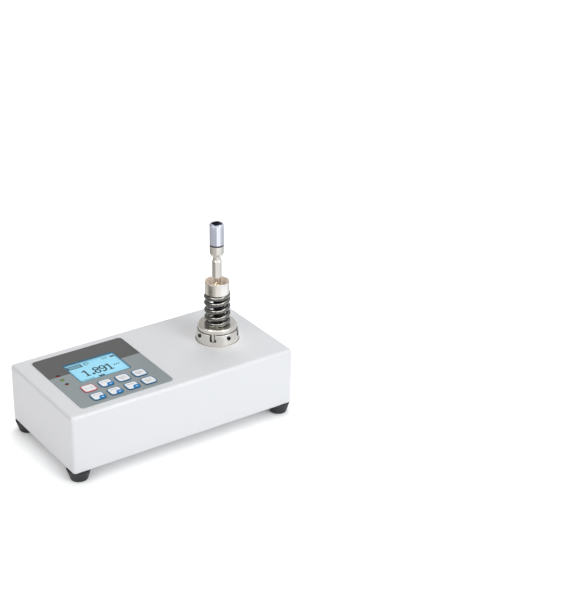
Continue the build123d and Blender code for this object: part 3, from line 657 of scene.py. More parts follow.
def thicken(bm: BMesh, height: float) -> None:
    """Raise flat faces to a plate, closed all round.

    Args:
        bm: The faces' mesh.
        height: Thickness of the plate.
    """
    made = bmesh.ops.extrude_face_region(bm, geom=list(bm.faces))
    raised = [item for item in made["geom"] if isinstance(item, BMVert)]
    bmesh.ops.translate(bm, vec=(0, 0, height), verts=raised)
    bmesh.ops.recalc_face_normals(bm, faces=bm.faces)


def merge(*parts: BMesh) -> BMesh:
    """Put several meshes into one.

    Args:
        *parts: The meshes, which are freed.

    Returns:
        The whole mesh.
    """
    whole = bmesh.new()
    for part in parts:
        mesh = bpy.data.meshes.new("part")
        part.to_mesh(mesh)
        part.free()
        whole.from_mesh(mesh)
        bpy.data.meshes.remove(mesh)
    return whole


def profile_bends(bm: BMesh, slight: float = 0.03) -> set[frozenset[int]]:
    """Find the edges of a turned mesh at which its profile changes slope.

    Args:
        bm: The mesh, turned about an upright axis.
        slight: Least change of the normals' height that counts.

    Returns:
        The pair of vertices of each such edge.
    """
    bm.verts.index_update()
    bm.normal_update()
    bends = set()
    for edge in bm.edges:
        heights = [face.normal.z for face in edge.link_faces]
        if len(heights) == 2 and abs(heights[0] - heights[1]) > slight:
            bends.add(frozenset(vert.index for vert in edge.verts))
    return bends


def outwards(face: MeshPolygon, axis: Vector) -> float:
    """Say how far a face looks away from an upright axis, 1 for straight away."""
    away = (face.center - axis) * Vector((1, 1, 0))
    return face.normal.dot(away.normalized())


def bare_object(bm: BMesh, name: str) -> Object:
    """Put a mesh into the scene as an object.

    Args:
        bm: The mesh, which is freed.
        name: The object's name.

    Returns:
        The object.
    """
    mesh = bpy.data.meshes.new(name)
    bm.to_mesh(mesh)
    bm.free()
    made = bpy.data.objects.new(name, mesh)
    bpy.context.scene.collection.objects.link(made)
    return made


def hollow(bm: BMesh, width: float) -> None:
    """Leave only a rim of flat faces.

    Args:
        bm: The faces' mesh.
        width: Width of the rim.
    """
    made = bmesh.ops.inset_region(
        bm, faces=list(bm.faces), thickness=width, use_boundary=True, use_even_offset=True,
    )
    rim = set(made["faces"])
    inner = [face for face in bm.faces if face not in rim]
    bmesh.ops.delete(bm, geom=inner, context="FACES")


def bars(places: list[Bar], base: Vector, height: float) -> BMesh:
    """Make thin printed bars.

    Args:
        places: The bars, in millimetres from the base.
        base: Where the bars are measured from.
        height: Thickness of the print.

    Returns:
        The bars' mesh.
    """
    whole = bmesh.new()
    for x, y, length, width in places:
        corners = rectangle(whole, length * MM, width * MM)
        bmesh.ops.translate(whole, vec=base + Vector((x, y, 0)) * MM, verts=corners)
    thicken(whole, height)
    return whole


def matt_print(name: str, colour: Colour) -> Finish:
    """Give a matt print in a strong colour."""
    return Finish(name, colour, 0.45, 0.0, 0.05, 4 * MM, specular=0.15)


@dataclass(frozen=True)
class Finishes:
    """Every finish of the tester.

    Attributes:
        column_x: Where the torque axis stands along X.
        band_y: Where the foil's dark band begins.
    """

    column_x: float
    band_y: float

    # Case and fasteners
    enamel: Finish = Finish(
        "white_powder_coat", tone(237, 237, 239), 0.42, mottle=0.015, mottle_size=30 * MM,
        rough_swing=0.05, grain_size=0.9 * MM, grain_depth=0.006 * MM,
    )
    rubber: Finish = Finish(
        "black_foot_rubber", tone(36, 36, 39), 0.55, mottle=0.25, mottle_size=4 * MM,
        rough_swing=0.1, grain_size=0.35 * MM, grain_depth=0.02 * MM,
    )
    zinc: Finish = Finish(
        "zinc_plated_sheet", tone(196, 199, 204), 0.4, 1.0, 0.18, 5 * MM, rough_swing=0.1,
    )
    zinc_screw: Finish = Finish("zinc_plated_screw", tone(205, 207, 210), 0.3, 1.0, 0.1)
    black_screw: Finish = Finish("blackened_screw", tone(62, 62, 66), 0.36, 1.0, 0.2)

    # Panel
    pane: Finish = ClearPane(
        "clear_pane", tone(235, 245, 250), 0.08, mottle=0.01, rough_swing=0.02,
        grain_depth=0.0005 * MM,
    )
    screen_glass: Finish = LitScreen(
        "backlit_display", tone(143, 212, 236), 0.3, mottle=0.02, mottle_size=15 * MM,
        grain_depth=0.003 * MM, glow=0.3325,
    )
    key_cap: Finish = Finish(
        "white_key_plastic", tone(253, 253, 255), 0.42, mottle=0.02, mottle_size=6 * MM,
        grain_size=0.3 * MM, grain_depth=0.004 * MM,
    )

    # Print
    screen_ink: Finish = Finish("display_dots", tone(4, 54, 70), 0.4, 0.0, 0.06, 3 * MM, specular=0.15)
    blue_ink: Finish = matt_print("blue_print", tone(30, 138, 210))
    rim_ink: Finish = matt_print("rim_print", tone(0, 118, 170))
    teal_ink: Finish = matt_print("teal_print", tone(0, 112, 148))
    red_ink: Finish = matt_print("red_print", tone(222, 94, 108))
    grey_ink: Finish = Finish("grey_print", tone(170, 160, 160), 0.5, 0.0, 0.06, 3 * MM)
    white_ink: Finish = Finish("white_print", tone(225, 236, 245), 0.5, 0.0, 0.03, 3 * MM)

    # Inside and sockets
    board: Finish = Finish("green_solder_mask", tone(30, 96, 58), 0.35, 0.0, 0.3, 2 * MM)
    moulding: Finish = Finish(
        "black_moulding", tone(38, 38, 40), 0.42, mottle=0.15, mottle_size=3 * MM,
        grain_size=0.2 * MM, grain_depth=0.01 * MM,
    )
    cell_wrap: Finish = Finish("blue_cell_wrap", tone(48, 96, 160), 0.3, 0.0, 0.1, 8 * MM)
    tin: Finish = Finish("tinned_shell_metal", tone(208, 207, 202), 0.32, 1.0, 0.08, 3 * MM)
    steel: Finish = Finish("ground_steel_plate", tone(170, 172, 175), 0.35, 1.0, 0.15, 4 * MM)

    # Column
    spring_steel: Finish = Finish(
        "oiled_spring_steel", tone(124, 123, 121), 0.17, 1.0, 0.3, 2.5 * MM, rough_swing=0.04,
        grain_size=0.4 * MM, grain_depth=0.004 * MM,
    )
    # Near-black painted shade for the ring's slots and inner faces and for the underside of the flange
    painted_shade_steel: Finish = Finish("painted_shade_near_black", tone(24, 22, 20), 0.6, 0.0, 0.2, 2 * MM)
    # Satin finish of the cup's bore, its colour raised near white as painted light so the inside reads
    # bright
    satin_painted_light_bore: Finish = Finish("satin_nickel_bore_painted_light", tone(250, 240, 231), 0.6, 0.2, 0.08, 1.5 * MM)
    collar: Finish = Finish("black_collar_rubber", tone(30, 30, 32), 0.5, 0.0, 0.2, 2 * MM)

    @property
    def axis(self) -> Vector:
        """Foot of the torque axis."""
        return Vector((self.column_x, 0, 0))

    def lathed(self, name: str, colour: Colour, roughness: float, swing: float) -> TurnedMetal:
        """Give a bare metal turned about the torque axis."""
        return TurnedMetal(name, colour, roughness, 1.0, rough_swing=swing, axis_x=self.column_x)

    @property
    def aluminium(self) -> TurnedMetal:
        """Turned aluminium of the sensor."""
        return self.lathed("turned_aluminium", tone(215, 217, 220), 0.32, 0.08)

    @property
    def nickel(self) -> TurnedMetal:
        """Bright nickel plate over turned steel."""
        return self.lathed("bright_nickel", tone(220, 217, 210), 0.2, 0.05)

    @property
    def chrome(self) -> TurnedMetal:
        """Polished chrome of the sleeve."""
        return self.lathed("polished_chrome", tone(204, 209, 224), 0.12, 0.03)

    def joint_screw(self, head_z: float) -> HeadedMetal:
        """Give the blackened shank of the joint's screw under a bright head."""
        return HeadedMetal(
            "blackened_joint_screw", tone(70, 70, 74), 0.34, 1.0, rough_swing=0.08,
            axis_x=self.column_x, head_z=head_z, head_colour=tone(206, 192, 174),
        )

    @property
    def foil(self) -> BandedFoil:
        """Printed foil with its dark band."""
        return BandedFoil(
            "printed_panel_foil", tone(153, 161, 163), 0.5, 0.0, 0.03, 20 * MM, specular=0.3,
            grain_size=0.25 * MM, grain_depth=0.006 * MM, band_colour=tone(92, 92, 92),
            band_y=self.band_y,
        )

    def lamp(self, name: str, colour: Colour, core: Colour, centre: Pair) -> TintedLamp:
        """Give a tinted lamp about its own axis."""
        return TintedLamp(
            f"tinted_{name}", colour, 0.18, 0.0, 0.05, 2 * MM, rough_swing=0.03, specular=0.08,
            glow=0.05, centre=centre, core=core,
        )


@dataclass
class SubAssembly:
    """What every sub-assembly has: the frame's nodes, the finishes and a list of its pieces."""

    nodes: dict[str, Object]
    finishes: Finishes
    made: list[str] = field(default_factory=list)

    def piece(self, bm: BMesh, name: str, finish: Finish, slot: str,
              stands_for: tuple[str, ...] = (), body: str = Body.TESTER,
              sharp: float = 35.0) -> Object:
        """Finish a mesh as a piece of the part.

        Args:
            bm: The piece's mesh, which is freed.
            name: The piece's name.
            finish: Its finish.
            slot: Name of a material slot; not used.
            stands_for: CAD nodes that it replaces.
            body: The body it rides on.
            sharp: Angle in degrees above which an edge stays sharp.

        Returns:
            The piece.
        """
        made = bare_object(bm, name)
        made.data.materials.append(finish.material())
        made.data.shade_smooth()
        made.data.set_sharp_from_angle(angle=math.radians(sharp))
        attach(made, body)
        if stands_for:
            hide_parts(*stands_for)
        self.made.append(name)
        return made

    def refined(self, node: str, finish: Finish, slot: str, body: str = Body.TESTER,
                sharp: float = 30.0, lathed: bool = False) -> Object:
        """Replace a CAD node by a copy whose facets are merged and shaded as one surface.

        Args:
            node: The CAD node.
            finish: Its finish.
            slot: Name of a material slot, passed on to the piece.
            body: The body it rides on.
            sharp: Angle in degrees above which an edge stays sharp.
            lathed: Whether its profile's bends stay sharp, however slight.

        Returns:
            The piece.
        """
        bm = bmesh.new()
        bm.from_mesh(self.nodes[node].data)
        bmesh.ops.remove_doubles(bm, verts=bm.verts, dist=FACET_SEAM)
        bends = profile_bends(bm) if lathed else set()
        made = self.piece(bm, f"smooth_{node}", finish, slot, (node,), body, sharp)
        for edge in made.data.edges:
            if frozenset(edge.vertices) in bends:
                edge.use_edge_sharp = True
        made.modifiers.new("even", "WEIGHTED_NORMAL").keep_sharp = True
        return made

    def recolour(self, piece: Object, finish: Finish,
                 chosen: Callable[[MeshPolygon], bool]) -> None:
        """Give some faces of a piece another finish.

        Args:
            piece: The piece.
            finish: The finish.
            chosen: Whether a face gets it.
        """
        piece.data.materials.append(finish.material())
        for face in piece.data.polygons:
            if chosen(face):
                face.material_index = 1

    def dress(self, finish: Finish, *names: str) -> None:
        """Give CAD nodes that stay a finish of their own.

        Args:
            finish: The finish.
            *names: The nodes.
        """
        for name in names:
            materials = self.nodes[name].data.materials
            materials.clear()
            materials.append(finish.material())
            self.made.append(name)

    def report(self) -> None:
        """Log each piece that this sub-assembly made or dressed."""
        for name in self.made:
            LOG.info("%s: %s", type(self).__name__, name)


@dataclass
class Case(SubAssembly):
    """The folded case, its base plate and its feet."""

    foot_bore: float = 2.25 * MM
    foot_recess: float = 4.0 * MM
    foot_recess_depth: float = 4.8 * MM
    foot_bottom: float = 6.4 * MM
    foot_edge: float = 1.0 * MM
    foot_swell: float = 0.1 * MM
    foot_bead: float = 0.35 * MM
    foot_facets: int = 64

    def build(self) -> None:
        """Build the case."""
        look = self.finishes
        self.refined("housing_cover", look.enamel, "white_enamel")
        self.refined("base_plate", look.zinc, "zinc_sheet")
        for node in sorted(name for name in self.nodes if name.startswith("foot_")):
            if node in ("foot_screws", "foot_nuts"):
                self.refined(node, look.zinc_screw, "zinc_screw")
            else:
                self.foot(node)

    def foot(self, node: str) -> None:
        """Turn one rubber foot, with a bead under the case and a round lower edge.

        Args:
            node: The foot's CAD node.
        """
        span = Span.of(node)
        top, low = span.high.z, span.low.z
        outer = min(span.size.x, span.size.y) / 2
        slope = (outer - self.foot_bottom) / (top - low)
        flat = self.foot_bottom - self.foot_edge + self.foot_swell
        rounding = [
            (flat + self.foot_edge * math.sin(angle), low + self.foot_edge * (1 - math.cos(angle)))
            for angle in map(math.radians, range(0, 91, 15))
        ]
        bead_low = top - 3 * self.foot_bead
        profile = [
            (self.foot_bore, top),
            (self.foot_bore, low + self.foot_recess_depth),
            (self.foot_recess, low + self.foot_recess_depth),
            (self.foot_recess, low),
            *rounding,
            (self.foot_bottom + slope * (bead_low - low), bead_low),
            (outer - self.foot_bead, bead_low + self.foot_bead),
            (outer, top - self.foot_bead),
            (outer, top),
        ]
        bm = turned(profile, span.centre.x, span.centre.y, self.foot_facets)
        self.piece(bm, f"rubber_{node}", self.finishes.rubber, "black_rubber", (node,), sharp=40)


@dataclass
class Panel(SubAssembly):
    """The printed foil with its display, lamps and keys.

    Attributes:
        ink: Thickness of the print.
        border: Width of the window's border.
        rear_border: What is added to it along its rear edge.
        window_corner: Radius of the window's corners.
        key_rim: Width of a key's printed rim.
        key_wall: Depth up to which a cap's outer edge is printed.
        key_corner: Radius of a key's corners.
        key_edge: Distance of the print from the key's edge.
        key_flat: Least height of the normal of a cap's flat faces.
        corner_cuts: Point and outward direction of each cut that leaves the blue corner.
        corner_mark: Bar on the blue corner.
    """

    ink: float = 0.02 * MM
    border: float = 0.65 * MM
    rear_border: float = 1.1 * MM
    window_corner: float = 0.8 * MM
    key_rim: float = 0.5 * MM
    key_wall: float = 0.9 * MM
    key_corner: float = 2.35 * MM
    key_edge: float = 0.15 * MM
    key_flat: float = 0.9
    corner_cuts: tuple[tuple[Place, Place], ...] = (
        ((0, -0.3 * MM, 0), (0, 1, 0)), ((-0.9 * MM, -4.0 * MM, 0), (-1, 0.45, 0)),
    )
    corner_mark: Bar = (2.4, -2.7, 1.7, 0.8)

    def build(self) -> None:
        """Build the panel."""
        self.refined("front_foil", self.finishes.foil, "panel_foil")
        self.refined("display_window", self.finishes.pane, "clear_window")
        self.refined("display_module", self.finishes.screen_glass, "display")
        self.window_border()
        self.lamps()
        for node in sorted(name for name in self.nodes if name in KEYS):
            self.key(node)
        Readout(self.nodes, self.finishes, self.made).build()

    def window_border(self) -> None:
        """Print the border on the pane, wider along its rear edge."""
        span = Span.of("display_window")
        bm = rounded_sheet(span.size.x, span.size.y, self.window_corner, span.top)
        hollow(bm, self.border)
        thicken(bm, self.ink)
        length = (span.size.x - 2 * self.border) / MM
        rear = span.top + Vector((0, span.size.y / 2 - self.border - self.rear_border / 2, 0))
        strip = bars([(0, 0, length, self.rear_border / MM)], rear, self.ink)
        self.piece(merge(bm, strip), "window_border", self.finishes.teal_ink, "panel_foil")

    def lamps(self) -> None:
        """Tint the three lamps."""
        tints = {
            "lamp_red": (tone(142, 0, 12), tone(24, 0, 6)),
            "lamp_green": (tone(116, 152, 20), tone(84, 118, 12)),
            "lamp_orange": (tone(126, 52, 14), tone(12, 4, 0)),
        }
        for node, (colour, core) in tints.items():
            finish = self.finishes.lamp(node, colour, core, tuple(Span.of(node).centre.xy))
            self.refined(node, finish, node, sharp=60)

    def key(self, node: str) -> None:
        """Finish one key: the cap, the printed rim and its marks.

        Args:
            node: The key's CAD node, and the body that its pieces ride on.
        """
        look, style, span = self.finishes, KEYS[node], Span.of(node)
        power = style is KeyStyle.POWER
        slot, rim_ink = ("key_red_rim", look.red_ink) if power else ("key_white", look.rim_ink)
        cap = self.refined(node, look.key_cap, slot, node)
        reach = span.size / 2 - Vector((self.key_wall, self.key_wall, 0))

        def outer_wall(face: MeshPolygon) -> bool:
            """Say whether a face of the cap is on its outer edge.

            Args:
                face: The face.

            Returns:
                Whether it is.
            """
            away = face.center - span.centre
            outer = abs(away.x) > reach.x or abs(away.y) > reach.y
            return outer and abs(face.normal.z) < self.key_flat

        self.recolour(cap, rim_ink, outer_wall)
        face = span.size - Vector((2 * self.key_edge, 2 * self.key_edge, 0))
        rim = rounded_sheet(face.x, face.y, self.key_corner, span.top)
        hollow(rim, self.key_rim)
        thicken(rim, self.ink)
        self.piece(rim, f"rim_{node}", rim_ink, slot, body=node)
        marks = bars(list(style.value), span.top, self.ink)
        self.piece(marks, f"marks_{node}", look.grey_ink, "key_white", body=node)
        if style is KeyStyle.CORNER:
            self.corner(node, span.top, face)

    def corner(self, node: str, top: Vector, face: Vector) -> None:
        """Print the blue corner of a key and the small mark on it.

        Args:
            node: The key's node.
            top: Middle of the key's top.
            face: Size of the print on the key.
        """
        inner = face - Vector((2 * self.key_rim, 2 * self.key_rim, 0))
        bm = rounded_sheet(inner.x, inner.y, self.key_corner - self.key_rim, top)
        for point, normal in self.corner_cuts:
            bmesh.ops.bisect_plane(
                bm, geom=[*bm.verts, *bm.edges, *bm.faces], plane_co=top + Vector(point),
                plane_no=normal, clear_outer=True,
            )
        thicken(bm, self.ink)
        look = self.finishes
        self.piece(bm, f"blue_corner_{node}", look.blue_ink, "key_white", body=node)
        mark = bars([self.corner_mark], top + UP * self.ink, self.ink)
        self.piece(mark, f"corner_mark_{node}", look.white_ink, "key_white", body=node)


@dataclass
class Readout(SubAssembly):
    """What the display shows: plain digits in dots, and a few plain signs round them.

    Attributes:
        dot: Pitch of the dots along X and Y, in millimetres.
        dot_fill: Size of a dot as a share of the pitch.
        ink: Thickness of the dots.
        digits: Each digit and the place of its left side.
        digits_front: Place of the digits' near side.
        arrow_place: Middle of the round arrow, in millimetres.
        arrow_radii: Inner and outer radius of its bow, in millimetres.
        arrow_angle: How far the bow goes round, in degrees.
        arrow_facets: Facets of the bow.
        point_place: Middle of the arrow's point, in millimetres from the bow's.
        point_radius: Radius of the point, in millimetres.
    """

    dot: Pair = (0.6, 0.76)
    dot_fill: float = 1.3
    ink: float = 0.03 * MM
    digits: tuple[tuple[str, float], ...] = (
        ("1", 7.9), (".", 13.8), ("8", 16.4), ("9", 21.5), ("1", 26.8),
    )
    digits_front: float = 7.2
    arrow_place: Place = (16.6, 24.1, 0)
    arrow_radii: Pair = (1.2, 1.9)
    arrow_angle: float = 290.0
    arrow_facets: int = 24
    point_place: Place = (1.55, -0.2, 0)
    point_radius: float = 0.85

    def build(self) -> None:
        """Put the digits and the signs on the display's glass."""
        window = Span.of("display_window")
        base = Vector((*window.low.xy, Span.of("display_module").high.z))
        ink = self.finishes.screen_ink
        places = [bar for sign, left in self.digits for bar in self.dots(DIGITS[sign], left)]
        self.piece(bars(places, base, self.ink), "display_digits", ink, "display")
        sign_bars = FRAME_BARS + UNIT_BARS + CLOCK_BARS + SCALE_BARS + CELL_BARS + TAB_BARS
        signs = merge(bars(sign_bars, base, self.ink), self.turning_arrow(base))
        self.piece(signs, "display_signs", ink, "display")

    def dots(self, rows: tuple[str, ...], left: float) -> list[Bar]:
        """Place the dots of one digit.

        Args:
            rows: Its rows from the top, with # for a dark dot.
            left: Place of its left side, in millimetres.

        Returns:
            The dots as bars.
        """
        across, along = self.dot
        return [
            (left + (column + 0.5) * across, self.digits_front + (len(rows) - line - 0.5) * along,
             self.dot_fill * across, self.dot_fill * along)
            for line, row in enumerate(rows) for column, mark in enumerate(row) if mark == "#"
        ]

    def turning_arrow(self, base: Vector) -> BMesh:
        """Make the round arrow that shows the turning sense.

        Args:
            base: The window's near left corner.

        Returns:
            The arrow's mesh.
        """
        centre = base + Vector(self.arrow_place) * MM
        bm = bmesh.new()
        ends = [bm.verts.new(centre + Vector((radius * MM, 0, 0))) for radius in self.arrow_radii]
        edge = bm.edges.new(ends)
        bmesh.ops.spin(
            bm, geom=[*ends, edge], cent=centre, axis=UP, angle=math.radians(self.arrow_angle),
            steps=self.arrow_facets, use_merge=False,
        )
        point = bmesh.new()
        bmesh.ops.create_circle(point, cap_ends=True, segments=3, radius=self.point_radius * MM)
        place = centre + Vector(self.point_place) * MM
        bmesh.ops.translate(point, vec=place, verts=point.verts)
        whole = merge(bm, point)
        thicken(whole, self.ink)
        return whole


@dataclass
class Sockets(SubAssembly):
    """The sockets in the rear wall."""

    def build(self) -> None:
        """Dress the sockets."""
        look = self.finishes
        self.refined("power_socket", look.moulding, "black_plastic")
        self.refined("data_socket", look.tin, "tinned_shell")
        self.refined("serial_shell", look.tin, "tinned_shell")
        self.refined("serial_insert", look.moulding, "black_plastic")


@dataclass
class Electronics(SubAssembly):
    """The boards, the battery and their fasteners inside the case."""

    def build(self) -> None:
        """Dress what is inside."""
        look = self.finishes
        self.dress(look.moulding, "key_switches")
        self.dress(look.board, "keypad_board", "main_board")
        self.dress(look.zinc_screw, "board_pillars", "keypad_screws", "board_posts")
        self.dress(look.zinc_screw, "main_board_screws", "strap_screws")
        self.dress(look.cell_wrap, "battery_pack")
        self.dress(look.zinc, "battery_strap")


@dataclass
class TorqueHead(SubAssembly):
    """The sensor under the case's top and the slotted ring on it.

    Attributes:
        wall_outwards: How far a ring face looks outwards at least to keep its nickel; the others get
            painted shade.
        under_flange: Height of the normal of the faces under the flange at most, which get painted
            shade.
    """

    wall_outwards: float = 0.5
    under_flange: float = -0.5

    def build(self) -> None:
        """Build the head, with painted shade on the ring's slots and inner faces and under the flange.
        """
        look, axis = self.finishes, self.finishes.axis
        self.dress(look.steel, "sensor_plate")
        self.dress(look.zinc_screw, "plate_screws")
        self.dress(look.aluminium, "torque_sensor")
        self.dress(look.black_screw, "sensor_screws", "ring_screws")
        ring = self.refined("sensor_ring", look.nickel, "nickel", lathed=True)
        self.refined("set_screws", look.black_screw, "black_screw")
        flange = self.refined("joint_flange", look.nickel, "nickel", lathed=True)
        # Painted shade: the ring's slots, bore and top land and the flange's underside get a near-black
        # finish where shade falls.
        self.recolour(ring, look.painted_shade_steel, lambda face: outwards(face, axis) < self.wall_outwards)
        self.recolour(flange, look.painted_shade_steel, lambda face: face.normal.z < self.under_flange)


@dataclass
class SpringJoint(SubAssembly):
    """The coil spring between flange and cup, the cup, and the screw through them.

    Attributes:
        wire: Thickness of the spring's wire.
        closed_pitch: Rise of its closed end turns in one turn.
        low_turns: Closed turns at the lower end.
        open_turns: Open turns.
        high_turns: Closed turns at the upper end.
        ground: Depth to which each end is ground flat.
        start: Where the lower end starts, in degrees from +X.
        steps: Facets in one turn.
        segments: Facets round the wire.
        travel: How far the cup goes down; not used.
        slack: How much further the spring gives way; not used.
        head_height: Height of the screw's head.
        bore_outwards: How far the faces of the cup's bore look outwards at most.
    """

    wire: float = 3.6 * MM
    closed_pitch: float = 3.7 * MM
    low_turns: float = 0.6
    open_turns: float = 3.1
    high_turns: float = 0.95
    ground: float = 1.1 * MM
    start: float = 158.0
    steps: int = 72
    segments: int = 32
    travel: float = 6.0 * MM
    slack: float = 0.1 * MM
    head_height: float = 3.9 * MM
    bore_outwards: float = -0.1

    def build(self) -> None:
        """Build the joint, with the cup's bore satin and lightened by painted light, and the screw's
        head bright.
        """
        look, axis = self.finishes, self.finishes.axis
        self.spring()
        cup = self.refined("spring_cup", look.nickel, "nickel", Body.CUP, lathed=True)
        # The bore's faces get a satin finish whose colour is lightened as painted light.
        self.recolour(cup, look.satin_painted_light_bore, lambda face: outwards(face, axis) < self.bore_outwards)
        head_z = Span.of("drive_screw").high.z - self.head_height
        self.refined("drive_screw", look.joint_screw(head_z), "black_screw", Body.DRIVE)

    def spring(self) -> None:
        """Wind the spring and grind its ends flat."""
        span = Span.of("joint_spring")
        low, high = span.low.z, span.high.z
        axis = self.finishes.axis
        bm = self.wound(axis, span)
        for height, side in ((low, -1), (high, 1)):
            bmesh.ops.bisect_plane(
                bm, geom=[*bm.verts, *bm.edges, *bm.faces], plane_co=(0, 0, height),
                plane_no=(0, 0, side), clear_outer=True,
            )
        open_edges = [edge for edge in bm.edges if edge.is_boundary]
        bmesh.ops.holes_fill(bm, edges=open_edges, sides=0)
        bmesh.ops.recalc_face_normals(bm, faces=bm.faces)
        turn = Matrix.Rotation(math.radians(self.start), 3, "Z")
        bmesh.ops.rotate(bm, verts=bm.verts, cent=axis, matrix=turn)
        made = self.piece(bm, "coil_spring", self.finishes.spring_steel, "spring_steel",
                          ("joint_spring",), sharp=40)
        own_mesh(made)

    def wound(self, axis: Vector, span: Span) -> BMesh:
        """Wind the wire, closed at its ends and open between them.

        Args:
            axis: Foot of the coil's axis.
            span: The coil's box once its ends are ground.

        Returns:
            The wire's mesh, longer than the box by what is ground off.
        """
        radius = span.size.x / 2 - self.wire / 2
        lift = self.wire / 2 - self.ground
        low_rise = self.low_turns * self.closed_pitch
        high_rise = self.high_turns * self.closed_pitch
        open_rise = span.size.z - 2 * lift - low_rise - high_rise
        bm = bmesh.new()
        bmesh.ops.create_circle(bm, segments=self.segments, radius=self.wire / 2)
        upright = Matrix.Rotation(math.pi / 2, 3, "X")
        bmesh.ops.rotate(bm, verts=bm.verts, cent=(0, 0, 0), matrix=upright)
        start = axis + Vector((radius, 0, span.low.z + lift))
        bmesh.ops.translate(bm, verts=bm.verts, vec=start)
        geometry = [*bm.verts, *bm.edges]
        turns_and_rises = (
            (self.low_turns, low_rise), (self.open_turns, open_rise), (self.high_turns, high_rise),
        )
        for turns, rise in turns_and_rises:
            count = round(turns * self.steps)
            wound = bmesh.ops.spin(
                bm, geom=geometry, cent=axis, axis=UP, dvec=(0, 0, rise / count),
                angle=turns * FULL_TURN, steps=count, use_merge=False, use_duplicate=False,
            )
            geometry = wound["geom_last"]
        bmesh.ops.remove_doubles(bm, verts=bm.verts, dist=SEAM)
        return bm


@dataclass
class DriveTrain(SubAssembly):
    """The bit, its holder, the collar and the sleeve."""

    def build(self) -> None:
        """Build the drive."""
        look = self.finishes
        self.refined("hex_bit", look.nickel, "nickel", Body.DRIVE, sharp=20)
        self.refined("bit_holder", look.nickel, "nickel", Body.DRIVE, lathed=True)
        self.refined("holder_collar", look.collar, "black_rubber", Body.DRIVE)
        self.refined("drive_sleeve", look.chrome, "chrome_sleeve", Body.DRIVE, lathed=True)


@dataclass(frozen=True)
class Lamp:
    """One studio lamp.

    Attributes:
        name: Its name.
        place: Where it stands.
        power: Its power in watts.
        side: Side of its square face.
        colour: Its colour.
    """

    name: str
    place: Place
    power: float
    side: float
    colour: Colour = (1.0, 1.0, 1.0)

    def put(self, target: Vector) -> None:
        """Put the lamp up.

        Args:
            target: The point that it shines on.
        """
        light = bpy.data.lights.new(self.name, "AREA")
        light.energy = self.power
        light.size = self.side
        light.color = self.colour
        holder = bpy.data.objects.new(self.name, light)
        bpy.context.scene.collection.objects.link(holder)
        holder.location = self.place
        holder.rotation_euler = (target - Vector(self.place)).to_track_quat("-Z", "Y").to_euler()


# Each lamp's name, place, power, side and colour
LAMPS = (
    Lamp("key_lamp", (0.5, -1.45, 0.75), 12.6, 0.9, (0.95, 0.985, 1.0)),
    Lamp("fill_lamp", (-1.5, -0.35, 0.55), 5.0, 0.9, (1.0, 0.97, 0.94)),
    Lamp("top_lamp", (0.5, 0.6, 1.5), 7.2, 0.8),
)

# Each card's name, angle, distance, height above the bench, width, own height and brightness
CARDS = (
    ("dark_card", -52.0, 0.75, 0.3, 0.14, 0.9, 0.03),
    ("left_card", -112.0, 0.8, 0.3, 1.2, 0.9, 0.38),
    ("right_card", 105.0, 0.8, 0.3, 1.1, 0.9, 1.3),
    ("back_card", 180.0, 0.9, 0.45, 1.0, 0.6, 0.62),
    ("near_glint_card", 0.0, 0.5, 0.6, 0.36, 0.12, 15.0),
    ("left_glint_card", -42.0, 0.5, 0.6, 0.36, 0.12, 15.0),
    ("right_glint_card", 42.0, 0.5, 0.6, 0.36, 0.12, 15.0),
    ("far_left_glint_card", -95.0, 0.32, 0.68, 0.26, 0.12, 9.0),
    ("far_right_glint_card", 95.0, 0.32, 0.68, 0.26, 0.12, 12.0),
)


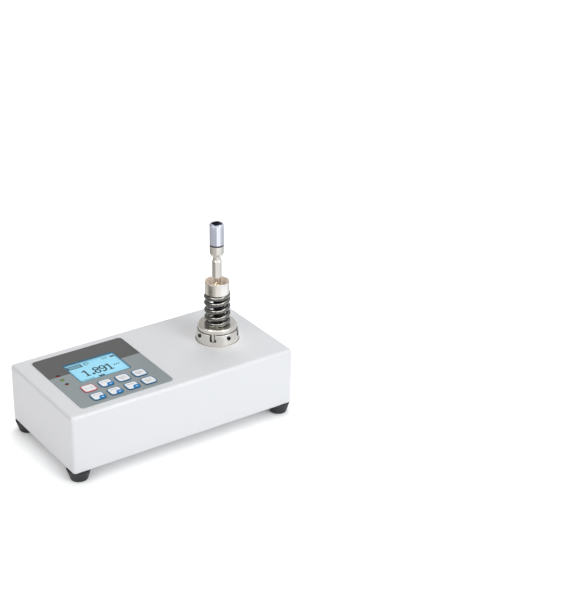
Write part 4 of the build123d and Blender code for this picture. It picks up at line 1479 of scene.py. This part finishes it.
@dataclass
class Studio:
    """The pale floor, the lamps, the backdrop and the camera.

    Attributes:
        axis: Foot of the torque axis.
        focal_px: Focal length in pixels of the picture.
        pitch: How far the camera looks down, in degrees.
        yaw: How far it is turned from +Y towards +X, in degrees.
        roll: Its roll in degrees.
        eye: Where it stands.
        middle: Point that the lamps shine on.
        card_aim: Height on the torque axis that the cards face.
        card_green: Green of the cards' light as a share of its red.
        card_blue: Blue of the cards' light as a share of its red.
        sky: Colour of the soft light from all round.
        sky_strength: Its strength.
        paper: Colour of the floor.
        floor_reach: Distance from the middle to the floor's edges.
        floor_glow: The floor's own light towards the camera.
        contact_reach: Distance from the case up to which that light fades into a painted contact shadow.
        band_radius: Radius of the band of light round the axis.
        band_low: Its lower edge, above the case.
        band_high: Its upper edge.
        band_changes: Heights at which its strips change.
        band_peak: Its greatest brightness.
        band_facets: Facets round it.
    """

    axis: Vector
    focal_px: float = 1549.7
    pitch: float = 26.242
    yaw: float = 35.203
    roll: float = 0.804
    eye: Place = (-0.49950, -0.87399, 0.59526)
    middle: Place = (0.0, 0.0, 0.05)
    card_aim: float = 80 * MM
    card_green: float = 0.97
    card_blue: float = 0.93
    sky: Colour = (0.96, 0.98, 1.0)
    sky_strength: float = 0.38
    paper: Colour = (0.92, 0.92, 0.92)
    floor_reach: float = 6.0
    floor_glow: float = 0.62
    contact_reach: float = 24 * MM
    band_radius: float = 60 * MM
    band_low: float = 56 * MM
    band_high: float = 122 * MM
    band_changes: Pair = (76 * MM, 104.5 * MM)
    band_peak: float = 1.6
    band_facets: int = 96

    def build(self) -> None:
        """Set up the studio."""
        self.world()
        self.floor()
        for card in CARDS:
            self.card(*card)
        self.light_band()
        for lamp in LAMPS:
            lamp.put(Vector(self.middle))
        self.camera()
        bpy.context.scene.view_settings.view_transform = "Standard"

    def world(self) -> None:
        """Light softly from all round, and show white to the camera and in metal and glass."""
        world = bpy.data.worlds.new("studio")
        bpy.context.scene.world = world
        world.use_nodes = True
        nodes = Nodes(world.node_tree)
        soft, output = (nodes.tree.nodes[name] for name in ("Background", "World Output"))
        nodes.feed(soft, {"Color": self.sky, "Strength": self.sky_strength})
        white = nodes.node("ShaderNodeBackground", {"Color": (1, 1, 1)})
        inputs = {0: self.seen(nodes), 1: soft.outputs[0], 2: white.outputs[0]}
        nodes.feed(output, {"Surface": nodes.node("ShaderNodeMixShader", inputs).outputs[0]})

    def seen(self, nodes: Nodes) -> NodeSocket:
        """Find the rays from the camera, straight or by way of metal and glass.

        Args:
            nodes: The tree that asks.

        Returns:
            A socket of 1 for such rays and 0 for others.
        """
        ways = nodes.node("ShaderNodeLightPath", {}).outputs
        straight = nodes.math("MAXIMUM", ways["Is Camera Ray"], ways["Is Glossy Ray"])
        return nodes.math("MAXIMUM", straight, ways["Is Transmission Ray"])

    def floor(self) -> None:
        """Lay a white floor that keeps the lamps' shadows, with a painted contact shadow deepest close
        under the case.
        """
        bm = bmesh.new()
        rectangle(bm, 2 * self.floor_reach, 2 * self.floor_reach)
        floor = bare_object(bm, "studio_floor")
        shade = Shade("studio_paper")
        # Painted contact shadow: the floor's own glow is dimmed by occlusion close to the case.
        near = shade.node("ShaderNodeAmbientOcclusion", {"Distance": self.contact_reach})
        glow = shade.math("MULTIPLY", near.outputs["AO"], self.floor_glow)
        shade.surface({
            "Base Color": self.paper, "Roughness": 0.9, "Specular IOR Level": 0.1,
            "Emission Color": (1, 1, 1),
            "Emission Strength": shade.math("MULTIPLY", self.seen(shade), glow),
        })
        floor.data.materials.append(shade.material)

    def way(self, angle: float) -> Vector:
        """Give the level direction from the axis so many degrees to the right of the camera."""
        heading = math.radians(self.yaw - angle)
        return Vector((-math.sin(heading), -math.cos(heading), 0))

    def card(self, name: str, angle: float, distance: float, height: float, width: float,
             tall: float, grey: float) -> None:
        """Stand a card by the tester, which only the metal and the glossy faces see.

        Args:
            name: The card's name.
            angle: Degrees to the right of the camera.
            distance: Distance from the torque axis.
            height: Height of its middle above the bench.
            width: Its width.
            tall: Its own height.
            grey: Its brightness, which no lamp changes.
        """
        place = self.axis + self.way(angle) * distance + UP * height
        facing = self.axis + UP * self.card_aim - place
        bm = bmesh.new()
        rectangle(bm, width, tall)
        turn = facing.to_track_quat("Z", "Y").to_matrix()
        bmesh.ops.rotate(bm, verts=bm.verts, cent=(0, 0, 0), matrix=turn)
        bmesh.ops.translate(bm, verts=bm.verts, vec=place)
        colour = (grey, grey * self.card_green, grey * self.card_blue)
        self.reflected_only(bm, name, Shade(name).light(colour, 1.0))

    def reflected_only(self, bm: BMesh, name: str, material: Material) -> None:
        """Make a part of the stage that only reflections see.

        Args:
            bm: Its mesh, which is freed.
            name: Its name.
            material: Its material.
        """
        made = bare_object(bm, name)
        made.data.materials.append(material)
        for ray in ("camera", "diffuse", "shadow", "transmission"):
            setattr(made, f"visible_{ray}", False)

    def light_band(self) -> None:
        """Stand a low band round the torque axis, which its upright metal reflects."""
        bm = bmesh.new()
        bmesh.ops.create_cone(
            bm, cap_ends=False, segments=self.band_facets, radius1=self.band_radius,
            radius2=self.band_radius, depth=self.band_high - self.band_low,
        )
        middle = self.axis + UP * (self.band_low + self.band_high) / 2
        bmesh.ops.translate(bm, verts=bm.verts, vec=middle)
        self.reflected_only(bm, "light_band", self.band_paint())

    def band_paint(self) -> Material:
        """Make the band's light, which changes round the axis and at two heights.

        Returns:
            The material.
        """
        shade = Shade("light_band")
        offset = shade.vector("SUBTRACT", shade.place(), self.axis)
        right, near = (shade.vector("DOT_PRODUCT", offset, self.way(angle)) for angle in (90, 0))
        turn = shade.math("DIVIDE", shade.math("ARCTAN2", right, near), FULL_TURN)
        share = shade.math("ADD", turn, 0.5)
        light = self.strips(shade, share, Strips.CUP)
        for height, strips in zip(self.band_changes, (Strips.BIT, Strips.SLEEVE)):
            above = shade.math("GREATER_THAN", shade.axis("Z"), height)
            light = shade.mix(above, light, self.strips(shade, share, strips))
        return shade.light(light, self.band_peak)

    def strips(self, shade: Shade, share: NodeSocket, strips: Strips) -> NodeSocket:
        """Turn a share of the way round into the light there.

        Args:
            shade: The material.
            share: 0 to 1 round the axis, from behind it and by the left.
            strips: The strips of light.

        Returns:
            The socket of the light's colour.
        """
        ramp = shade.node("ShaderNodeValToRGB", {"Fac": share})
        stops = ramp.color_ramp.elements
        stops.remove(stops[1])
        for count, (degrees, brightness) in enumerate(strips.value):
            place = degrees / 360 + 0.5
            stop = stops[0] if count == 0 else stops.new(place)
            stop.position = place
            grey = brightness / self.band_peak
            green, blue = strips.tint(degrees)
            stop.color = (grey, grey * green, grey * blue, 1)
        return ramp.outputs["Color"]

    def camera(self) -> None:
        """Put the camera where the photograph was taken."""
        lens = bpy.data.cameras.new("camera")
        lens.sensor_width = SENSOR_WIDTH
        lens.lens = self.focal_px * SENSOR_WIDTH / max(IMAGE_SIZE)
        holder = bpy.data.objects.new("camera", lens)
        bpy.context.scene.collection.objects.link(holder)
        holder.location = self.eye
        heading, dip = math.radians(self.yaw), math.radians(self.pitch)
        ahead = Vector((math.sin(heading), math.cos(heading), -math.tan(dip)))
        tilt = Quaternion(UP, math.radians(self.roll))
        holder.rotation_euler = (ahead.to_track_quat("-Z", "Y") @ tilt).to_euler()
        bpy.context.scene.camera = holder


def main() -> None:
    """Build the pieces round the frame, then the stage and the camera."""
    logging.basicConfig(level=logging.INFO, format="%(message)s")
    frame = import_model()
    nodes = frame["nodes"]
    finishes = Finishes(
        column_x=Span.of("spring_cup").centre.x,
        band_y=Span.of("front_foil").high.y - BAND_WIDTH,
    )
    for part in (Case, Panel, Sockets, Electronics, TorqueHead, SpringJoint, DriveTrain):
        assembly = part(nodes, finishes)
        assembly.build()
        assembly.report()
    Studio(finishes.axis).build()


if __name__ == "__main__":
    main()
